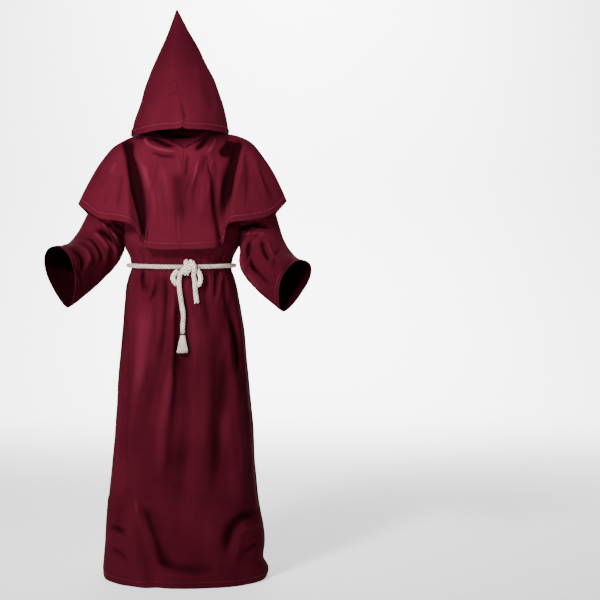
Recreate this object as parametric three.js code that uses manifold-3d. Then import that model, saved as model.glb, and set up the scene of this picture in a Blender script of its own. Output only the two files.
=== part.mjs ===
import * as THREE from "three";
import Module from "manifold-3d";

const wasm = await Module();
wasm.setup();

// Hooded robe with shoulder cape and rope belt, as worn with the forearms held out.
// Millimetres. X to the viewer's right, -Y towards the viewer, Z up.
// The origin is the middle of the neck opening, level with the tops of the shoulders.

// Cloth and rope sizes
const CLOTH = 1.6; // wall of the tunic, sleeves, cape and hood
const SEAM_GAP = 0.5; // between two sewn edges
const SEAM_PASSES = 8; // rounds of averaging the normals where seams meet
const ROPE = 14; // rope diameter
const ROPE_SIDES = 8;
const TIP_LONG = 0.45; // rounding of a rope's end, as shares of its radius
const TIP_WIDE = 0.62;
const DEG = Math.PI / 180;

// Tunic
const ARMPIT_Z = -335;
const BELT_Z = -400; // height of the belt, and of the seam between bodice and skirt
const NECK_SIDE = 82; // half width of the round neckline
const NECK_FRONT = 78;
const NECK_BACK = 76;
const NECK_FRONT_Z = -2;
const NECK_SIDE_Z = 24;
const NECK_BACK_Z = 30;
const SHOULDER_PAD = 18.6; // rise of the shoulder seam above a straight line
const NECK_SHARE = 0.44; // share of each panel's half width that the neckline takes
const UPPER_ROWS = 10; // rows of the armhole, shared with the sleeve
const SHOULDER_COLUMNS = 6; // columns of each panel beside the neckline, on each side
const FRONT_NECK_COLUMNS = 14;
const BACK_NECK_COLUMNS = 10;

// Sections of the tunic: half widths left and right, depths front and back, squareness
const BODY = [
  { z: -335, left: 180, right: 180, front: 124, back: 118, square: 2.25 },
  { z: -372, left: 164, right: 162, front: 118, back: 110, square: 2.2 },
  { z: -400, left: 160, right: 157, front: 114, back: 106, square: 2.2 },
  { z: -435, left: 171, right: 168, front: 127, back: 119, square: 2.2 },
  { z: -480, left: 182, right: 180, front: 139, back: 131, square: 2.2 },
  { z: -600, left: 193, right: 199, front: 158, back: 152, square: 2.2 },
  { z: -720, left: 203, right: 212, front: 174, back: 168, square: 2.2 },
  { z: -880, left: 213, right: 226, front: 189, back: 184, square: 2.2 },
  { z: -1000, left: 223, right: 234, front: 198, back: 194, square: 2.2 },
  { z: -1150, left: 236, right: 247, front: 206, back: 204, square: 2.2 },
  { z: -1255, left: 242, right: 261, front: 211, back: 210, square: 2.25 },
  { z: -1305, left: 246, right: 255, front: 212, back: 212, square: 2.25 },
  { z: -1345, left: 249, right: 272, front: 216, back: 214, square: 2.3 },
  { z: -1366, left: 248, right: 266, front: 214, back: 214, square: 2.3 },
];
const BODY_LEVELS = [
  -335, -368, -386, -400, -414, -440, -475, -520, -580, -655, -745, -845, -950,
  -1055, -1150, -1225, -1280, -1325, -1366,
];

const WAIST_ROW = UPPER_ROWS + BODY_LEVELS.indexOf(BELT_Z);

// Folds of the skirt: angle from centre front and height at each end, half width in degrees, depth
const SKIRT_FOLDS = [
  { a0: -41, z0: -405, a1: -38, z1: -520, width: 5, depth: -9 },
  { a0: -22, z0: -410, a1: -22, z1: -640, width: 6, depth: -11 },
  { a0: -12, z0: -430, a1: -15, z1: -900, width: 7, depth: 7 },
  { a0: 4, z0: -470, a1: -6, z1: -1060, width: 9, depth: -17 },
  { a0: 15, z0: -430, a1: 12, z1: -700, width: 6, depth: 6 },
  { a0: 22, z0: -440, a1: 24, z1: -600, width: 5, depth: -8 },
  { a0: 30, z0: -600, a1: 28, z1: -960, width: 8, depth: -10 },
  { a0: 56, z0: -470, a1: 52, z1: -720, width: 6, depth: -8 },
  { a0: 44, z0: -560, a1: 46, z1: -1240, width: 8, depth: 7 },
  { a0: -40, z0: -560, a1: -46, z1: -1000, width: 8, depth: 6 },
  { a0: -58, z0: -700, a1: -50, z1: -1180, width: 7, depth: -9 },
  { a0: -42, z0: -1130, a1: -22, z1: -1390, width: 6, depth: 12 },
  { a0: -33, z0: -1130, a1: -14, z1: -1390, width: 5, depth: -12 },
  { a0: 84, z0: -440, a1: 80, z1: -1150, width: 9, depth: -9 },
  { a0: -86, z0: -440, a1: -84, z1: -1120, width: 9, depth: -8 },
  { a0: 112, z0: -430, a1: 106, z1: -1280, width: 9, depth: -13 },
  { a0: 134, z0: -425, a1: 132, z1: -900, width: 8, depth: -10 },
  { a0: 158, z0: -430, a1: 162, z1: -1240, width: 9, depth: -15 },
  { a0: -112, z0: -430, a1: -108, z1: -1180, width: 9, depth: -12 },
  { a0: -136, z0: -425, a1: -138, z1: -1000, width: 8, depth: -11 },
  { a0: -160, z0: -430, a1: -156, z1: -1300, width: 9, depth: -14 },
  { a0: 178, z0: -450, a1: 180, z1: -1100, width: 8, depth: 8 },
];
const FOLD_RISE = 70; // height over which a fold grows from nothing
const FOLD_FADE = 150; // and over which it dies away

// Sleeves: top and bottom points of each section, heading from straight out to straight
// ahead, half widths towards the body and away from it
const SLEEVE_LEFT = [
  { s: 0, tx: -188, ty: 0, tz: -38, bx: -180, by: 0, bz: -335, head: 0, inner: 58, outer: 56 },
  { s: 1, tx: -235, ty: 0, tz: -90, bx: -181, by: -8, bz: -345, head: 4, inner: 63, outer: 62 },
  { s: 2, tx: -272, ty: -8, tz: -165, bx: -184, by: -22, bz: -354, head: 12, inner: 66, outer: 66 },
  { s: 3, tx: -291, ty: -25, tz: -235, bx: -190, by: -40, bz: -368, head: 28, inner: 62, outer: 66 },
  { s: 4, tx: -302, ty: -60, tz: -280, bx: -203, by: -72, bz: -389, head: 45, inner: 58, outer: 62 },
  { s: 5, tx: -315, ty: -110, tz: -308, bx: -228, by: -118, bz: -420, head: 58, inner: 52, outer: 56 },
  { s: 6, tx: -333, ty: -170, tz: -325, bx: -262, by: -174, bz: -456, head: 64, inner: 48, outer: 50 },
  { s: 7, tx: -352, ty: -235, tz: -334, bx: -303, by: -238, bz: -494, head: 64, inner: 47, outer: 47 },
  { s: 8, tx: -374, ty: -292, tz: -339, bx: -336, by: -288, bz: -520, head: 62, inner: 47, outer: 49 },
];
const SLEEVE_RIGHT = [
  { s: 0, tx: 188, ty: 0, tz: -38, bx: 180, by: 0, bz: -335, head: 0, inner: 58, outer: 56 },
  { s: 1, tx: 235, ty: 0, tz: -88, bx: 181, by: -8, bz: -346, head: 4, inner: 63, outer: 62 },
  { s: 2, tx: 270, ty: -8, tz: -165, bx: 181, by: -22, bz: -357, head: 12, inner: 66, outer: 66 },
  { s: 3, tx: 290, ty: -25, tz: -238, bx: 180, by: -46, bz: -374, head: 28, inner: 62, outer: 66 },
  { s: 4, tx: 294, ty: -60, tz: -292, bx: 184, by: -84, bz: -403, head: 45, inner: 58, outer: 60 },
  { s: 5, tx: 303, ty: -110, tz: -328, bx: 199, by: -128, bz: -434, head: 58, inner: 52, outer: 54 },
  { s: 6, tx: 316, ty: -170, tz: -354, bx: 223, by: -182, bz: -464, head: 64, inner: 48, outer: 50 },
  { s: 7, tx: 333, ty: -235, tz: -371, bx: 262, by: -240, bz: -500, head: 64, inner: 47, outer: 47 },
  { s: 8, tx: 353, ty: -292, tz: -380, bx: 300, by: -288, bz: -531, head: 62, inner: 46, outer: 48 },
];
const SLEEVE_ROWS = 18;
const SLEEVE_END = 8; // s at the cuff
const ARMHOLE_GAP = 0.5; // added to the seam gap, as the cloth turns a corner at the armpit
const SLEEVE_PEAR = 0.36; // how much wider a section is near its top than near its bottom

// Folds of the sleeves: place along (0 armhole, 8 cuff), way round from the top, reach, depth
const SLEEVE_FOLDS = [
  { s: 2.9, phi: 70, slant: 0.5, wide: 0.32, round: 60, depth: -8 },
  { s: 3.6, phi: 80, slant: 0.9, wide: 0.3, round: 55, depth: 7 },
  { s: 4.3, phi: 85, slant: 1.2, wide: 0.34, round: 55, depth: -8 },
  { s: 5.4, phi: 100, slant: 1.6, wide: 0.5, round: 50, depth: 5 },
  { s: 3.2, phi: 280, slant: -0.4, wide: 0.34, round: 50, depth: -7 },
  { s: 4.6, phi: 285, slant: -0.6, wide: 0.45, round: 50, depth: -6 },
];

// Ring where hood and cape are sewn together: lower in front, in a V
const RING_SIDE = 108;
const RING_FRONT = 106;
const RING_BACK = 92;
const RING_MID = -8;
const RING_FRONT_Z = -34;
const RING_SIDE_Z = 25;
const RING_BACK_Z = 50;
const RING_V_X = 6; // the V points a little to the viewer's right

// Cape: q runs from centre front (0) to centre back (1); shoulder point and hem point
const CAPE_LEFT = [
  { q: 0, sx: 4, sy: -130, sz: -95, hx: -6, hy: -163, hz: -347 },
  { q: 0.12, sx: -46, sy: -129, sz: -92, hx: -60, hy: -160, hz: -347 },
  { q: 0.21, sx: -84, sy: -121, sz: -76, hx: -110, hy: -150, hz: -342 },
  { q: 0.265, sx: -106, sy: -104, sz: -64, hx: -128, hy: -122, hz: -330 },
  { q: 0.31, sx: -126, sy: -94, sz: -50, hx: -141, hy: -128, hz: -292 },
  { q: 0.36, sx: -144, sy: -90, sz: -40, hx: -160, hy: -142, hz: -268 },
  { q: 0.44, sx: -170, sy: -74, sz: -28, hx: -205, hy: -132, hz: -258 },
  { q: 0.52, sx: -192, sy: -48, sz: -20, hx: -252, hy: -110, hz: -252 },
  { q: 0.58, sx: -203, sy: -24, sz: -16, hx: -288, hy: -86, hz: -230 },
  { q: 0.63, sx: -208, sy: -4, sz: -16, hx: -324, hy: -52, hz: -204 },
  { q: 0.7, sx: -205, sy: 22, sz: -16, hx: -322, hy: 6, hz: -210 },
  { q: 0.78, sx: -186, sy: 62, sz: -20, hx: -290, hy: 74, hz: -248 },
  { q: 0.86, sx: -140, sy: 106, sz: -30, hx: -214, hy: 126, hz: -306 },
  { q: 0.93, sx: -76, sy: 132, sz: -38, hx: -108, hy: 156, hz: -342 },
  { q: 1, sx: 0, sy: 140, sz: -40, hx: 0, hy: 164, hz: -352 },
  { q: 1.07, sx: 76, sy: 132, sz: -38, hx: 108, hy: 156, hz: -342 },
];
const CAPE_RIGHT = [
  { q: 0, sx: 4, sy: -130, sz: -95, hx: -6, hy: -163, hz: -347 },
  { q: 0.12, sx: 50, sy: -129, sz: -90, hx: 50, hy: -161, hz: -346 },
  { q: 0.21, sx: 86, sy: -122, sz: -74, hx: 100, hy: -153, hz: -342 },
  { q: 0.265, sx: 108, sy: -106, sz: -60, hx: 130, hy: -132, hz: -334 },
  { q: 0.31, sx: 128, sy: -95, sz: -46, hx: 134, hy: -124, hz: -285 },
  { q: 0.36, sx: 146, sy: -90, sz: -34, hx: 150, hy: -138, hz: -264 },
  { q: 0.44, sx: 174, sy: -74, sz: -20, hx: 204, hy: -130, hz: -258 },
  { q: 0.52, sx: 197, sy: -48, sz: -8, hx: 254, hy: -106, hz: -248 },
  { q: 0.58, sx: 206, sy: -24, sz: -4, hx: 292, hy: -82, hz: -228 },
  { q: 0.63, sx: 210, sy: -4, sz: -2, hx: 328, hy: -46, hz: -194 },
  { q: 0.7, sx: 206, sy: 22, sz: -4, hx: 325, hy: 8, hz: -202 },
  { q: 0.78, sx: 186, sy: 62, sz: -12, hx: 292, hy: 76, hz: -244 },
  { q: 0.86, sx: 140, sy: 106, sz: -28, hx: 214, hy: 127, hz: -304 },
  { q: 0.93, sx: 76, sy: 132, sz: -38, hx: 108, hy: 156, hz: -342 },
  { q: 1, sx: 0, sy: 140, sz: -40, hx: 0, hy: 164, hz: -352 },
  { q: 1.07, sx: -76, sy: 132, sz: -38, hx: -108, hy: 156, hz: -342 },
];
const HANG = 0.55; // below 1 the cape hangs straighter from shoulder to hem
const CAPE_SEAM_Q = 0.66; // shoulder seam of the cape
const CAPE_FRONT_Q = [
  0, 0.06, 0.12, 0.17, 0.21, 0.24, 0.265, 0.29, 0.32, 0.36, 0.42, 0.48, 0.54, 0.6, 0.63, CAPE_SEAM_Q,
];
const CAPE_BACK_Q = [CAPE_SEAM_Q, 0.7, 0.75, 0.8, 0.85, 0.9, 0.95, 1];
const CAPE_REACH = [0, 0.08, 0.17, 0.27, 0.38, 0.5, 0.62, 0.74, 0.85, 0.94, 1];

// Folds of the cape: place at the neck ring and at the hem, start and end along, width, depth
const CAPE_FOLDS = [
  { q0: 0.13, q1: 0.1, r0: 0.1, r1: 0.75, width: 0.035, depth: -6 },
  { q0: 0.2, q1: 0.27, r0: 0.1, r1: 1.2, width: 0.024, depth: -17 },
  { q0: 0.45, q1: 0.47, r0: 0.25, r1: 1.1, width: 0.035, depth: -6 },
  { q0: 0.76, q1: 0.74, r0: 0.2, r1: 1.1, width: 0.03, depth: -9 },
  { q0: 0.9, q1: 0.89, r0: 0.2, r1: 1.1, width: 0.03, depth: -10 },
];

// Hood: level sections; half widths each side of the front seam, front and back depth
const HOOD = [
  { z: 410, left: 1, right: 1, front: -22, back: -18, mid: -20, ridge: -16 },
  { z: 352, left: 21, right: 32, front: -52, back: 12, mid: -22, ridge: -17 },
  { z: 299, left: 42, right: 62, front: -79, back: 38, mid: -25, ridge: -17 },
  { z: 238, left: 69, right: 92, front: -108, back: 64, mid: -28, ridge: -17 },
  { z: 169, left: 97, right: 125, front: -139, back: 90, mid: -30, ridge: -17 },
  { z: 109, left: 122, right: 138, front: -166, back: 106, mid: -30, ridge: -9 },
  { z: 55, left: 148, right: 144, front: -188, back: 112, mid: -30, ridge: -2 },
  { z: 10, left: 160, right: 148, front: -204, back: 112, mid: -30, ridge: 0 },
];
const HOOD_FRONT_SHAPE = 1.5; // 1 is a straight line from ridge to side, 2 is round
const HOOD_BACK_SHAPE = 1.85;
const HOOD_CORNER = 76; // degrees from the front seam to the corner of the face opening
const HOOD_ROWS = 12;
const HOOD_BRIM_COLUMNS = 6;
const ROLL_DROP = 11; // how far the bottom of the hood hangs below its corner before it turns in
const ROLL_LIFT = 8; // and how far it clears the cape on its way to the neck
const ROLL_FORWARD = 19; // more so in front, where the cape falls away steeply
const RING_CLEAR = 0.5; // added to the seam gap above the cape
const ROLL_SIDE_Q = 0.42; // in front of here the bottom of the hood follows the ring round
const HOOD_FROM_V = 0.006; // the two halves stop just short of each other at the V
const HOOD_ROLL = [0.16, 0.36, 0.62, 1];
const BRIM = [
  { a: 0, z: 23 },
  { a: 12, z: 17 },
  { a: 40, z: 17 },
  { a: 76, z: 15 },
  { a: 92, z: 32 },
  { a: 130, z: 52 },
  { a: 180, z: 66 },
];

// Rope belt: rise of its sides and knot
const BELT_RISE = 5; // the sides sit higher than the front
const ROPE_CLEAR = 0.7;
const KNOT = { x: 27, y: -138.3, z: -402, wide: 15, deep: 10.4, high: 19 };
const LONG_TAIL = [
  { x: 2, out: 14.4, z: -409 },
  { x: -7, out: 16.5, z: -428 },
  { x: -8.5, out: 13, z: -456 },
  { x: -4.6, out: 10, z: -489 },
  { x: -0.3, out: 10, z: -519 },
  { x: 4.3, out: 11, z: -549 },
  { x: 2.4, out: 10, z: -581 },
  { x: 2.4, out: 11, z: -603 },
];
const SHORT_TAIL = [
  { x: 35, out: 21, z: -422.9 },
  { x: 38.5, out: 15, z: -441 },
  { x: 40, out: 11, z: -462 },
  { x: 42, out: 9, z: -484 },
  { x: 45.5, out: 9, z: -509 },
];
const LOOP_LEFT = [
  { x: -17, y: -137.5, z: -416 },
  { x: -23, y: -138, z: -425 },
  { x: -25, y: -139, z: -438 },
  { x: -22, y: -142, z: -452 },
];
const LOOP_RIGHT = [
  { x: 47.8, y: -137, z: -412.3 },
  { x: 53, y: -139, z: -425 },
  { x: 55, y: -141, z: -440 },
  { x: 53, y: -144, z: -456 },
];
const KNOT_TURNS = [
  [
    { x: 14, y: -138, z: -384 },
    { x: 14, y: -145, z: -393 },
    { x: 16, y: -146, z: -405 },
    { x: 14, y: -141, z: -420 },
  ],
  [
    { x: 25, y: -140, z: -386 },
    { x: 35, y: -146, z: -389 },
    { x: 38, y: -146, z: -402 },
    { x: 37, y: -141, z: -412 },
  ],
];
const TASSEL_LENGTH = 46;
const TASSEL_HEAD = 9;
const TASSEL_RADIUS = 8.2;
const TASSEL_RINGS = [
  { strands: 1, radius: 0, spread: 0 },
  { strands: 6, radius: 3.4, spread: 8.5 },
  { strands: 12, radius: 6.6, spread: 17 },
];
const TASSEL_FLAT = 0.5; // depth of the spread tassel over its width
const TASSEL_LEAN = 15; // how far it lies forward with the swell of the skirt
const STRAND_RADIUS = 1.1;

const MAROON = new THREE.Color(0x6e1a2c);
const CREAM = new THREE.Color(0xd9cfc2);

const clamp = (t, a, b) => Math.min(Math.max(t, a), b);
const lerp = (a, b, t) => a + (b - a) * t;
const vec = (x, y, z) => new THREE.Vector3(x, y, z);

function ease(a, b, t) {
  const s = clamp((t - a) / (b - a), 0, 1);
  return s * s * (3 - 2 * s);
}

// A power that keeps the sign
const power = (v, e) => Math.sign(v) * Math.pow(Math.abs(v), e);

// Slope of a table column at row i, flat at turning points so that nothing overshoots
function slopeAt(rows, i, key, column) {
  const rate = (a, b) => (rows[b][column] - rows[a][column]) / (rows[b][key] - rows[a][key]);
  if (i === 0) return rate(0, 1);
  if (i === rows.length - 1) return rate(i - 1, i);
  const before = rate(i - 1, i);
  const after = rate(i, i + 1);
  return before * after <= 0 ? 0 : (2 * before * after) / (before + after);
}

// All columns of a table at a value of its key column, smoothly between the rows
function tableAt(rows, key, value) {
  const rising = rows[1][key] > rows[0][key];
  let i = 0;
  while (i < rows.length - 2 && (rising ? value > rows[i + 1][key] : value < rows[i + 1][key])) i++;
  const span = rows[i + 1][key] - rows[i][key];
  const t = clamp((value - rows[i][key]) / span, 0, 1);
  const t2 = t * t;
  const t3 = t2 * t;
  const found = {};
  for (const column of Object.keys(rows[0])) {
    found[column] =
      rows[i][column] * (2 * t3 - 3 * t2 + 1) +
      slopeAt(rows, i, key, column) * span * (t3 - 2 * t2 + t) +
      rows[i + 1][column] * (3 * t2 - 2 * t3) +
      slopeAt(rows, i + 1, key, column) * span * (t3 - t2);
  }
  return found;
}

// Panels: a grid of points on the outside of the cloth, with a normal at each

function panel(points, { closed = false, flip = false } = {}) {
  const rows = points.length;
  const columns = points[0].length;
  const at = (i, j) => (i < 0 || i >= rows || j < 0 || j >= columns ? null : points[i][j]);
  const normals = points.map((row, i) =>
    row.map((p, j) => {
      if (!p) return null;
      const wrap = (k) => (closed ? (k + columns - 1) % (columns - 1) : k);
      const before = at(i, wrap(j - 1)) || p;
      const after = at(i, closed && j === columns - 1 ? 1 : j + 1) || p;
      const above = at(i - 1, j) || p;
      const below = at(i + 1, j) || p;
      const n = after.clone().sub(before).cross(below.clone().sub(above));
      return n.multiplyScalar(flip ? -1 : 1).normalize();
    }),
  );
  return { points, normals, closed, flip };
}

// An edge of a panel: its nodes in order and the step from the edge into the panel
function columnEdge(piece, j, first, last, inwards) {
  const step = first <= last ? 1 : -1;
  const count = Math.abs(last - first) + 1;
  const nodes = Array.from({ length: count }, (_, k) => [first + k * step, j]);
  return { piece, nodes, inwards: [0, inwards] };
}

function rowEdge(piece, i, first, last, inwards) {
  const step = first <= last ? 1 : -1;
  const around = piece.closed ? piece.points[0].length - 1 : Infinity;
  const count = Math.abs(last - first) + 1;
  const nodes = Array.from({ length: count }, (_, k) => {
    const j = first + k * step;
    return [i, around < Infinity ? j % around : j];
  });
  return { piece, nodes, inwards: [inwards, 0] };
}

// Sews pairs of edges: they share their normals and stand apart by the seam gap
function sewAll(seams) {
  for (let pass = 0; pass < SEAM_PASSES; pass++) {
    for (const [a, b] of seams) {
      a.nodes.forEach(([i, j], k) => {
        const [m, n] = b.nodes[k];
        const mean = a.piece.normals[i][j].clone().add(b.piece.normals[m][n]).normalize();
        a.piece.normals[i][j] = mean;
        b.piece.normals[m][n] = mean.clone();
      });
    }
  }
  const moves = [];
  for (const side of seams.flat()) {
    const spots = side.nodes.map(([i, j]) => side.piece.points[i][j]);
    side.nodes.forEach(([i, j], k) => {
      const along = spots[Math.min(k + 1, spots.length - 1)].clone().sub(spots[Math.max(k - 1, 0)]);
      const away = along.cross(side.piece.normals[i][j]).normalize();
      const inside = side.piece.points[i + side.inwards[0]][j + side.inwards[1]];
      if (away.dot(inside.clone().sub(spots[k])) < 0) away.negate();
      moves.push({ point: side.piece.points[i][j], by: away.multiplyScalar(SEAM_GAP / 2) });
    });
  }
  for (const { point, by } of moves) point.add(by);
}

const materials = {
  cloth: new THREE.MeshStandardMaterial({ color: MAROON, roughness: 0.75, metalness: 0 }),
  rope: new THREE.MeshStandardMaterial({ color: CREAM, roughness: 0.9, metalness: 0 }),
};
const group = new THREE.Group();
group.name = "monk_robe";

// A named mesh from corner points and triangles, corners that coincide joined
function addMesh(name, corners, triangles, material) {
  const seen = new Map();
  const kept = [];
  const place = corners.map((p) => {
    const key = [p.x, p.y, p.z].map((v) => v.toFixed(3)).join(" ");
    if (!seen.has(key)) {
      seen.set(key, kept.length);
      kept.push(p);
    }
    return seen.get(key);
  });
  const index = triangles
    .map((t) => t.map((k) => place[k]))
    .filter(([a, b, c]) => a !== b && b !== c && a !== c)
    .flat();
  const geometry = new THREE.BufferGeometry();
  geometry.setAttribute(
    "position",
    new THREE.Float32BufferAttribute(kept.flatMap((p) => [p.x, p.y, p.z]), 3),
  );
  geometry.setIndex(index);
  geometry.computeVertexNormals();
  const mesh = new THREE.Mesh(geometry, material);
  mesh.name = name;
  group.add(mesh);
  return mesh;
}

// The wall of a panel: its outside, its inside one cloth thickness in, and its edges
function addCloth(name, { points, normals, closed, flip }) {
  const rows = points.length;
  const columns = points[0].length;
  const corners = [];
  const number = points.map((row, i) =>
    row.map((p, j) => {
      if (!p) return -1;
      if (closed && j === columns - 1) return -2;
      corners.push(p);
      return corners.length - 1;
    }),
  );
  const node = (i, j) => number[i][closed ? j % (columns - 1) : j];
  const outer = [];
  for (let i = 0; i + 1 < rows; i++) {
    for (let j = 0; j + 1 < columns; j++) {
      const quad = [node(i, j), node(i, j + 1), node(i + 1, j + 1), node(i + 1, j)];
      if (quad.includes(-1)) continue;
      const [a, b, c, d] = flip ? [...quad].reverse() : quad;
      outer.push([a, b, c], [a, c, d]);
    }
  }
  const same = new Map();
  const merged = corners.map((p, k) => {
    const key = [p.x, p.y, p.z].map((v) => v.toFixed(3)).join(" ");
    if (!same.has(key)) same.set(key, k);
    return same.get(key);
  });
  const faces = outer
    .map((t) => t.map((k) => merged[k]))
    .filter(([a, b, c]) => a !== b && b !== c && a !== c);
  const count = corners.length;
  const flat = [];
  points.forEach((row, i) =>
    row.forEach((p, j) => {
      if (number[i][j] >= 0) flat.push(p.clone().addScaledVector(normals[i][j], -CLOTH));
    }),
  );
  const open = new Map();
  for (const [a, b, c] of faces) {
    for (const [p, q] of [[a, b], [b, c], [c, a]]) {
      if (open.has(q + " " + p)) open.delete(q + " " + p);
      else open.set(p + " " + q, [p, q]);
    }
  }
  const triangles = [];
  for (const [a, b, c] of faces) triangles.push([a, b, c], [a + count, c + count, b + count]);
  for (const [p, q] of open.values()) triangles.push([q, p, p + count], [q, p + count, q + count]);
  return addMesh(name, [...corners, ...flat], triangles, materials.cloth);
}

// Tunic surface

function foldAmount(fold, angle, z) {
  const along = (fold.z0 - z) / (fold.z0 - fold.z1);
  if (along < 0 || along > 1) return 0;
  const centre = lerp(fold.a0, fold.a1, along);
  let apart = angle - centre;
  if (apart > 180) apart -= 360;
  if (apart < -180) apart += 360;
  const fade = ease(0, FOLD_RISE, fold.z0 - z) * ease(0, FOLD_FADE, z - fold.z1 + FOLD_FADE * 0.4);
  return fold.depth * fade * Math.exp(-((apart / fold.width) ** 2));
}

// Angle 0 is centre front, 90 the right side seam, 180 centre back
function bodyPoint(angle, z) {
  const s = tableAt(BODY, "z", z);
  const wide = angle < 0 ? s.left : s.right;
  const sine = Math.sin(angle * DEG);
  const cosine = Math.cos(angle * DEG);
  const deep = cosine >= 0 ? s.front : s.back;
  const x = wide * power(sine, 2 / s.square);
  const y = -deep * power(cosine, 2 / s.square);
  const out = vec(x / wide ** 2, y / deep ** 2, 0).normalize();
  let fold = 0;
  for (const f of SKIRT_FOLDS) fold += foldAmount(f, angle, z);
  return vec(x, y, z).addScaledVector(out, fold);
}

// A sleeve section's point; phi 0 is its top, 90 the side towards the body
function sleevePoint(table, s, phi, folds = true) {
  const row = tableAt(table, "s", s);
  const side = Math.sign(row.tx);
  const head = row.head * DEG;
  const across = vec(-side * Math.sin(head), -Math.cos(head), 0);
  const top = vec(row.tx, row.ty, row.tz);
  const bottom = vec(row.bx, row.by, row.bz);
  const middle = top.clone().add(bottom).multiplyScalar(0.5);
  const half = top.clone().sub(bottom).multiplyScalar(0.5);
  const c = Math.cos(phi * DEG);
  const sn = Math.sin(phi * DEG);
  let wide = sn >= 0 ? row.inner : row.outer;
  if (folds) {
    const fade = ease(0, 1, s) * ease(SLEEVE_END, SLEEVE_END - 0.8, s);
    for (const f of SLEEVE_FOLDS) {
      const around = (phi - f.phi) / f.round;
      const along = (s - f.s - (f.slant * (phi - f.phi)) / 90) / f.wide;
      wide += f.depth * fade * Math.exp(-around * around - along * along);
    }
  }
  return middle
    .addScaledVector(half, c)
    .addScaledVector(across, wide * sn * (1 + SLEEVE_PEAR * c));
}

// Shoulder seam and neckline: u runs -1 to 1 from armhole to armhole
function tunicTop(u, back) {
  const side = Math.sign(u) || 1;
  const share = Math.abs(u) / NECK_SHARE;
  if (share < 1) {
    const a = share * 90 * DEG;
    const lift = Math.sin(a) ** 2;
    const y = back ? NECK_BACK * Math.cos(a) : -NECK_FRONT * Math.cos(a);
    const middleZ = back ? NECK_BACK_Z : NECK_FRONT_Z;
    return vec(side * NECK_SIDE * Math.sin(a), y, lerp(middleZ, NECK_SIDE_Z, lift));
  }
  const t = (Math.abs(u) - NECK_SHARE) / (1 - NECK_SHARE);
  const tip = side < 0 ? SLEEVE_LEFT[0] : SLEEVE_RIGHT[0];
  const pad = SHOULDER_PAD * Math.sin(Math.PI * t);
  return vec(lerp(side * NECK_SIDE, tip.tx, t), 0, lerp(NECK_SIDE_Z, tip.tz, t) + pad);
}

// The part above the armpits: from the top edge round to the level section at the armpit
function tunicUpper(u, t, back) {
  const angle = panelAngle(u, back);
  const top = tunicTop(u, back);
  const low = bodyPoint(angle, ARMPIT_Z);
  const a = (t * Math.PI) / 2;
  const out = Math.sin(a);
  const fall = 1 - Math.cos(a);
  const p = vec(lerp(top.x, low.x, out), lerp(top.y, low.y, out ** 0.85), lerp(top.z, low.z, fall));
  const pull = ease(0.35, 1, Math.abs(u));
  if (pull === 0) return p;
  const table = u < 0 ? SLEEVE_LEFT : SLEEVE_RIGHT;
  const hole = sleevePoint(table, 0, back ? 360 - 180 * t : 180 * t, false);
  const endTop = tunicTop(Math.sign(u), back);
  const endLow = bodyPoint(Math.sign(u) * 90, ARMPIT_Z);
  const end = vec(
    lerp(endTop.x, endLow.x, out),
    lerp(endTop.y, endLow.y, out ** 0.85),
    lerp(endTop.z, endLow.z, fall),
  );
  return p.addScaledVector(hole.sub(end), pull);
}

// Places across a panel, closer set beside the neckline
function tunicStations(neckColumns) {
  const list = [];
  for (let j = 0; j < SHOULDER_COLUMNS; j++) list.push(lerp(-1, -NECK_SHARE, j / SHOULDER_COLUMNS));
  for (let j = 0; j <= neckColumns; j++) list.push(lerp(-NECK_SHARE, NECK_SHARE, j / neckColumns));
  for (let j = 1; j <= SHOULDER_COLUMNS; j++) list.push(lerp(NECK_SHARE, 1, j / SHOULDER_COLUMNS));
  return list;
}

const panelAngle = (u, back) => (back ? (u < 0 ? -180 : 180) - u * 90 : u * 90);

// Bodice and skirt of the front or the back, which meet at a seam under the belt
function tunicPanels(neckColumns, back) {
  const across = tunicStations(neckColumns);
  const points = [];
  for (let i = 0; i <= UPPER_ROWS; i++) {
    points.push(across.map((u) => tunicUpper(u, i / UPPER_ROWS, back)));
  }
  for (const z of BODY_LEVELS.slice(1)) {
    points.push(across.map((u) => bodyPoint(panelAngle(u, back), z)));
  }
  const skirt = points.slice(WAIST_ROW).map((row) => row.map((p) => p.clone()));
  return [panel(points.slice(0, WAIST_ROW + 1), { flip: !back }), panel(skirt, { flip: !back })];
}

const [bodiceFront, skirtFront] = tunicPanels(FRONT_NECK_COLUMNS, false);
const [bodiceBack, skirtBack] = tunicPanels(BACK_NECK_COLUMNS, true);

// Sleeves

function sleevePanel(table) {
  const around = 2 * UPPER_ROWS;
  const side = Math.sign(table[0].tx);
  const points = [];
  for (let i = 0; i <= SLEEVE_ROWS; i++) {
    const row = [];
    for (let j = 0; j <= around; j++) {
      row.push(sleevePoint(table, (SLEEVE_END * i) / SLEEVE_ROWS, (360 * j) / around));
    }
    if (i === 0) {
      for (const p of row) p.x += side * ARMHOLE_GAP;
    }
    points.push(row);
  }
  return panel(points, { closed: true, flip: side < 0 });
}

const sleeveLeft = sleevePanel(SLEEVE_LEFT);
const sleeveRight = sleevePanel(SLEEVE_RIGHT);

// Cape

function ringPoint(side, q) {
  const a = q * 180 * DEG;
  const s = Math.sin(a);
  const c = Math.cos(a);
  const x = side * RING_SIDE * s + RING_V_X * Math.max(c, 0) ** 2;
  if (c >= 0) return vec(x, RING_MID - RING_FRONT * c, lerp(RING_FRONT_Z, RING_SIDE_Z, s));
  return vec(x, RING_MID - RING_BACK * c, lerp(RING_BACK_Z, RING_SIDE_Z, s));
}

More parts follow.
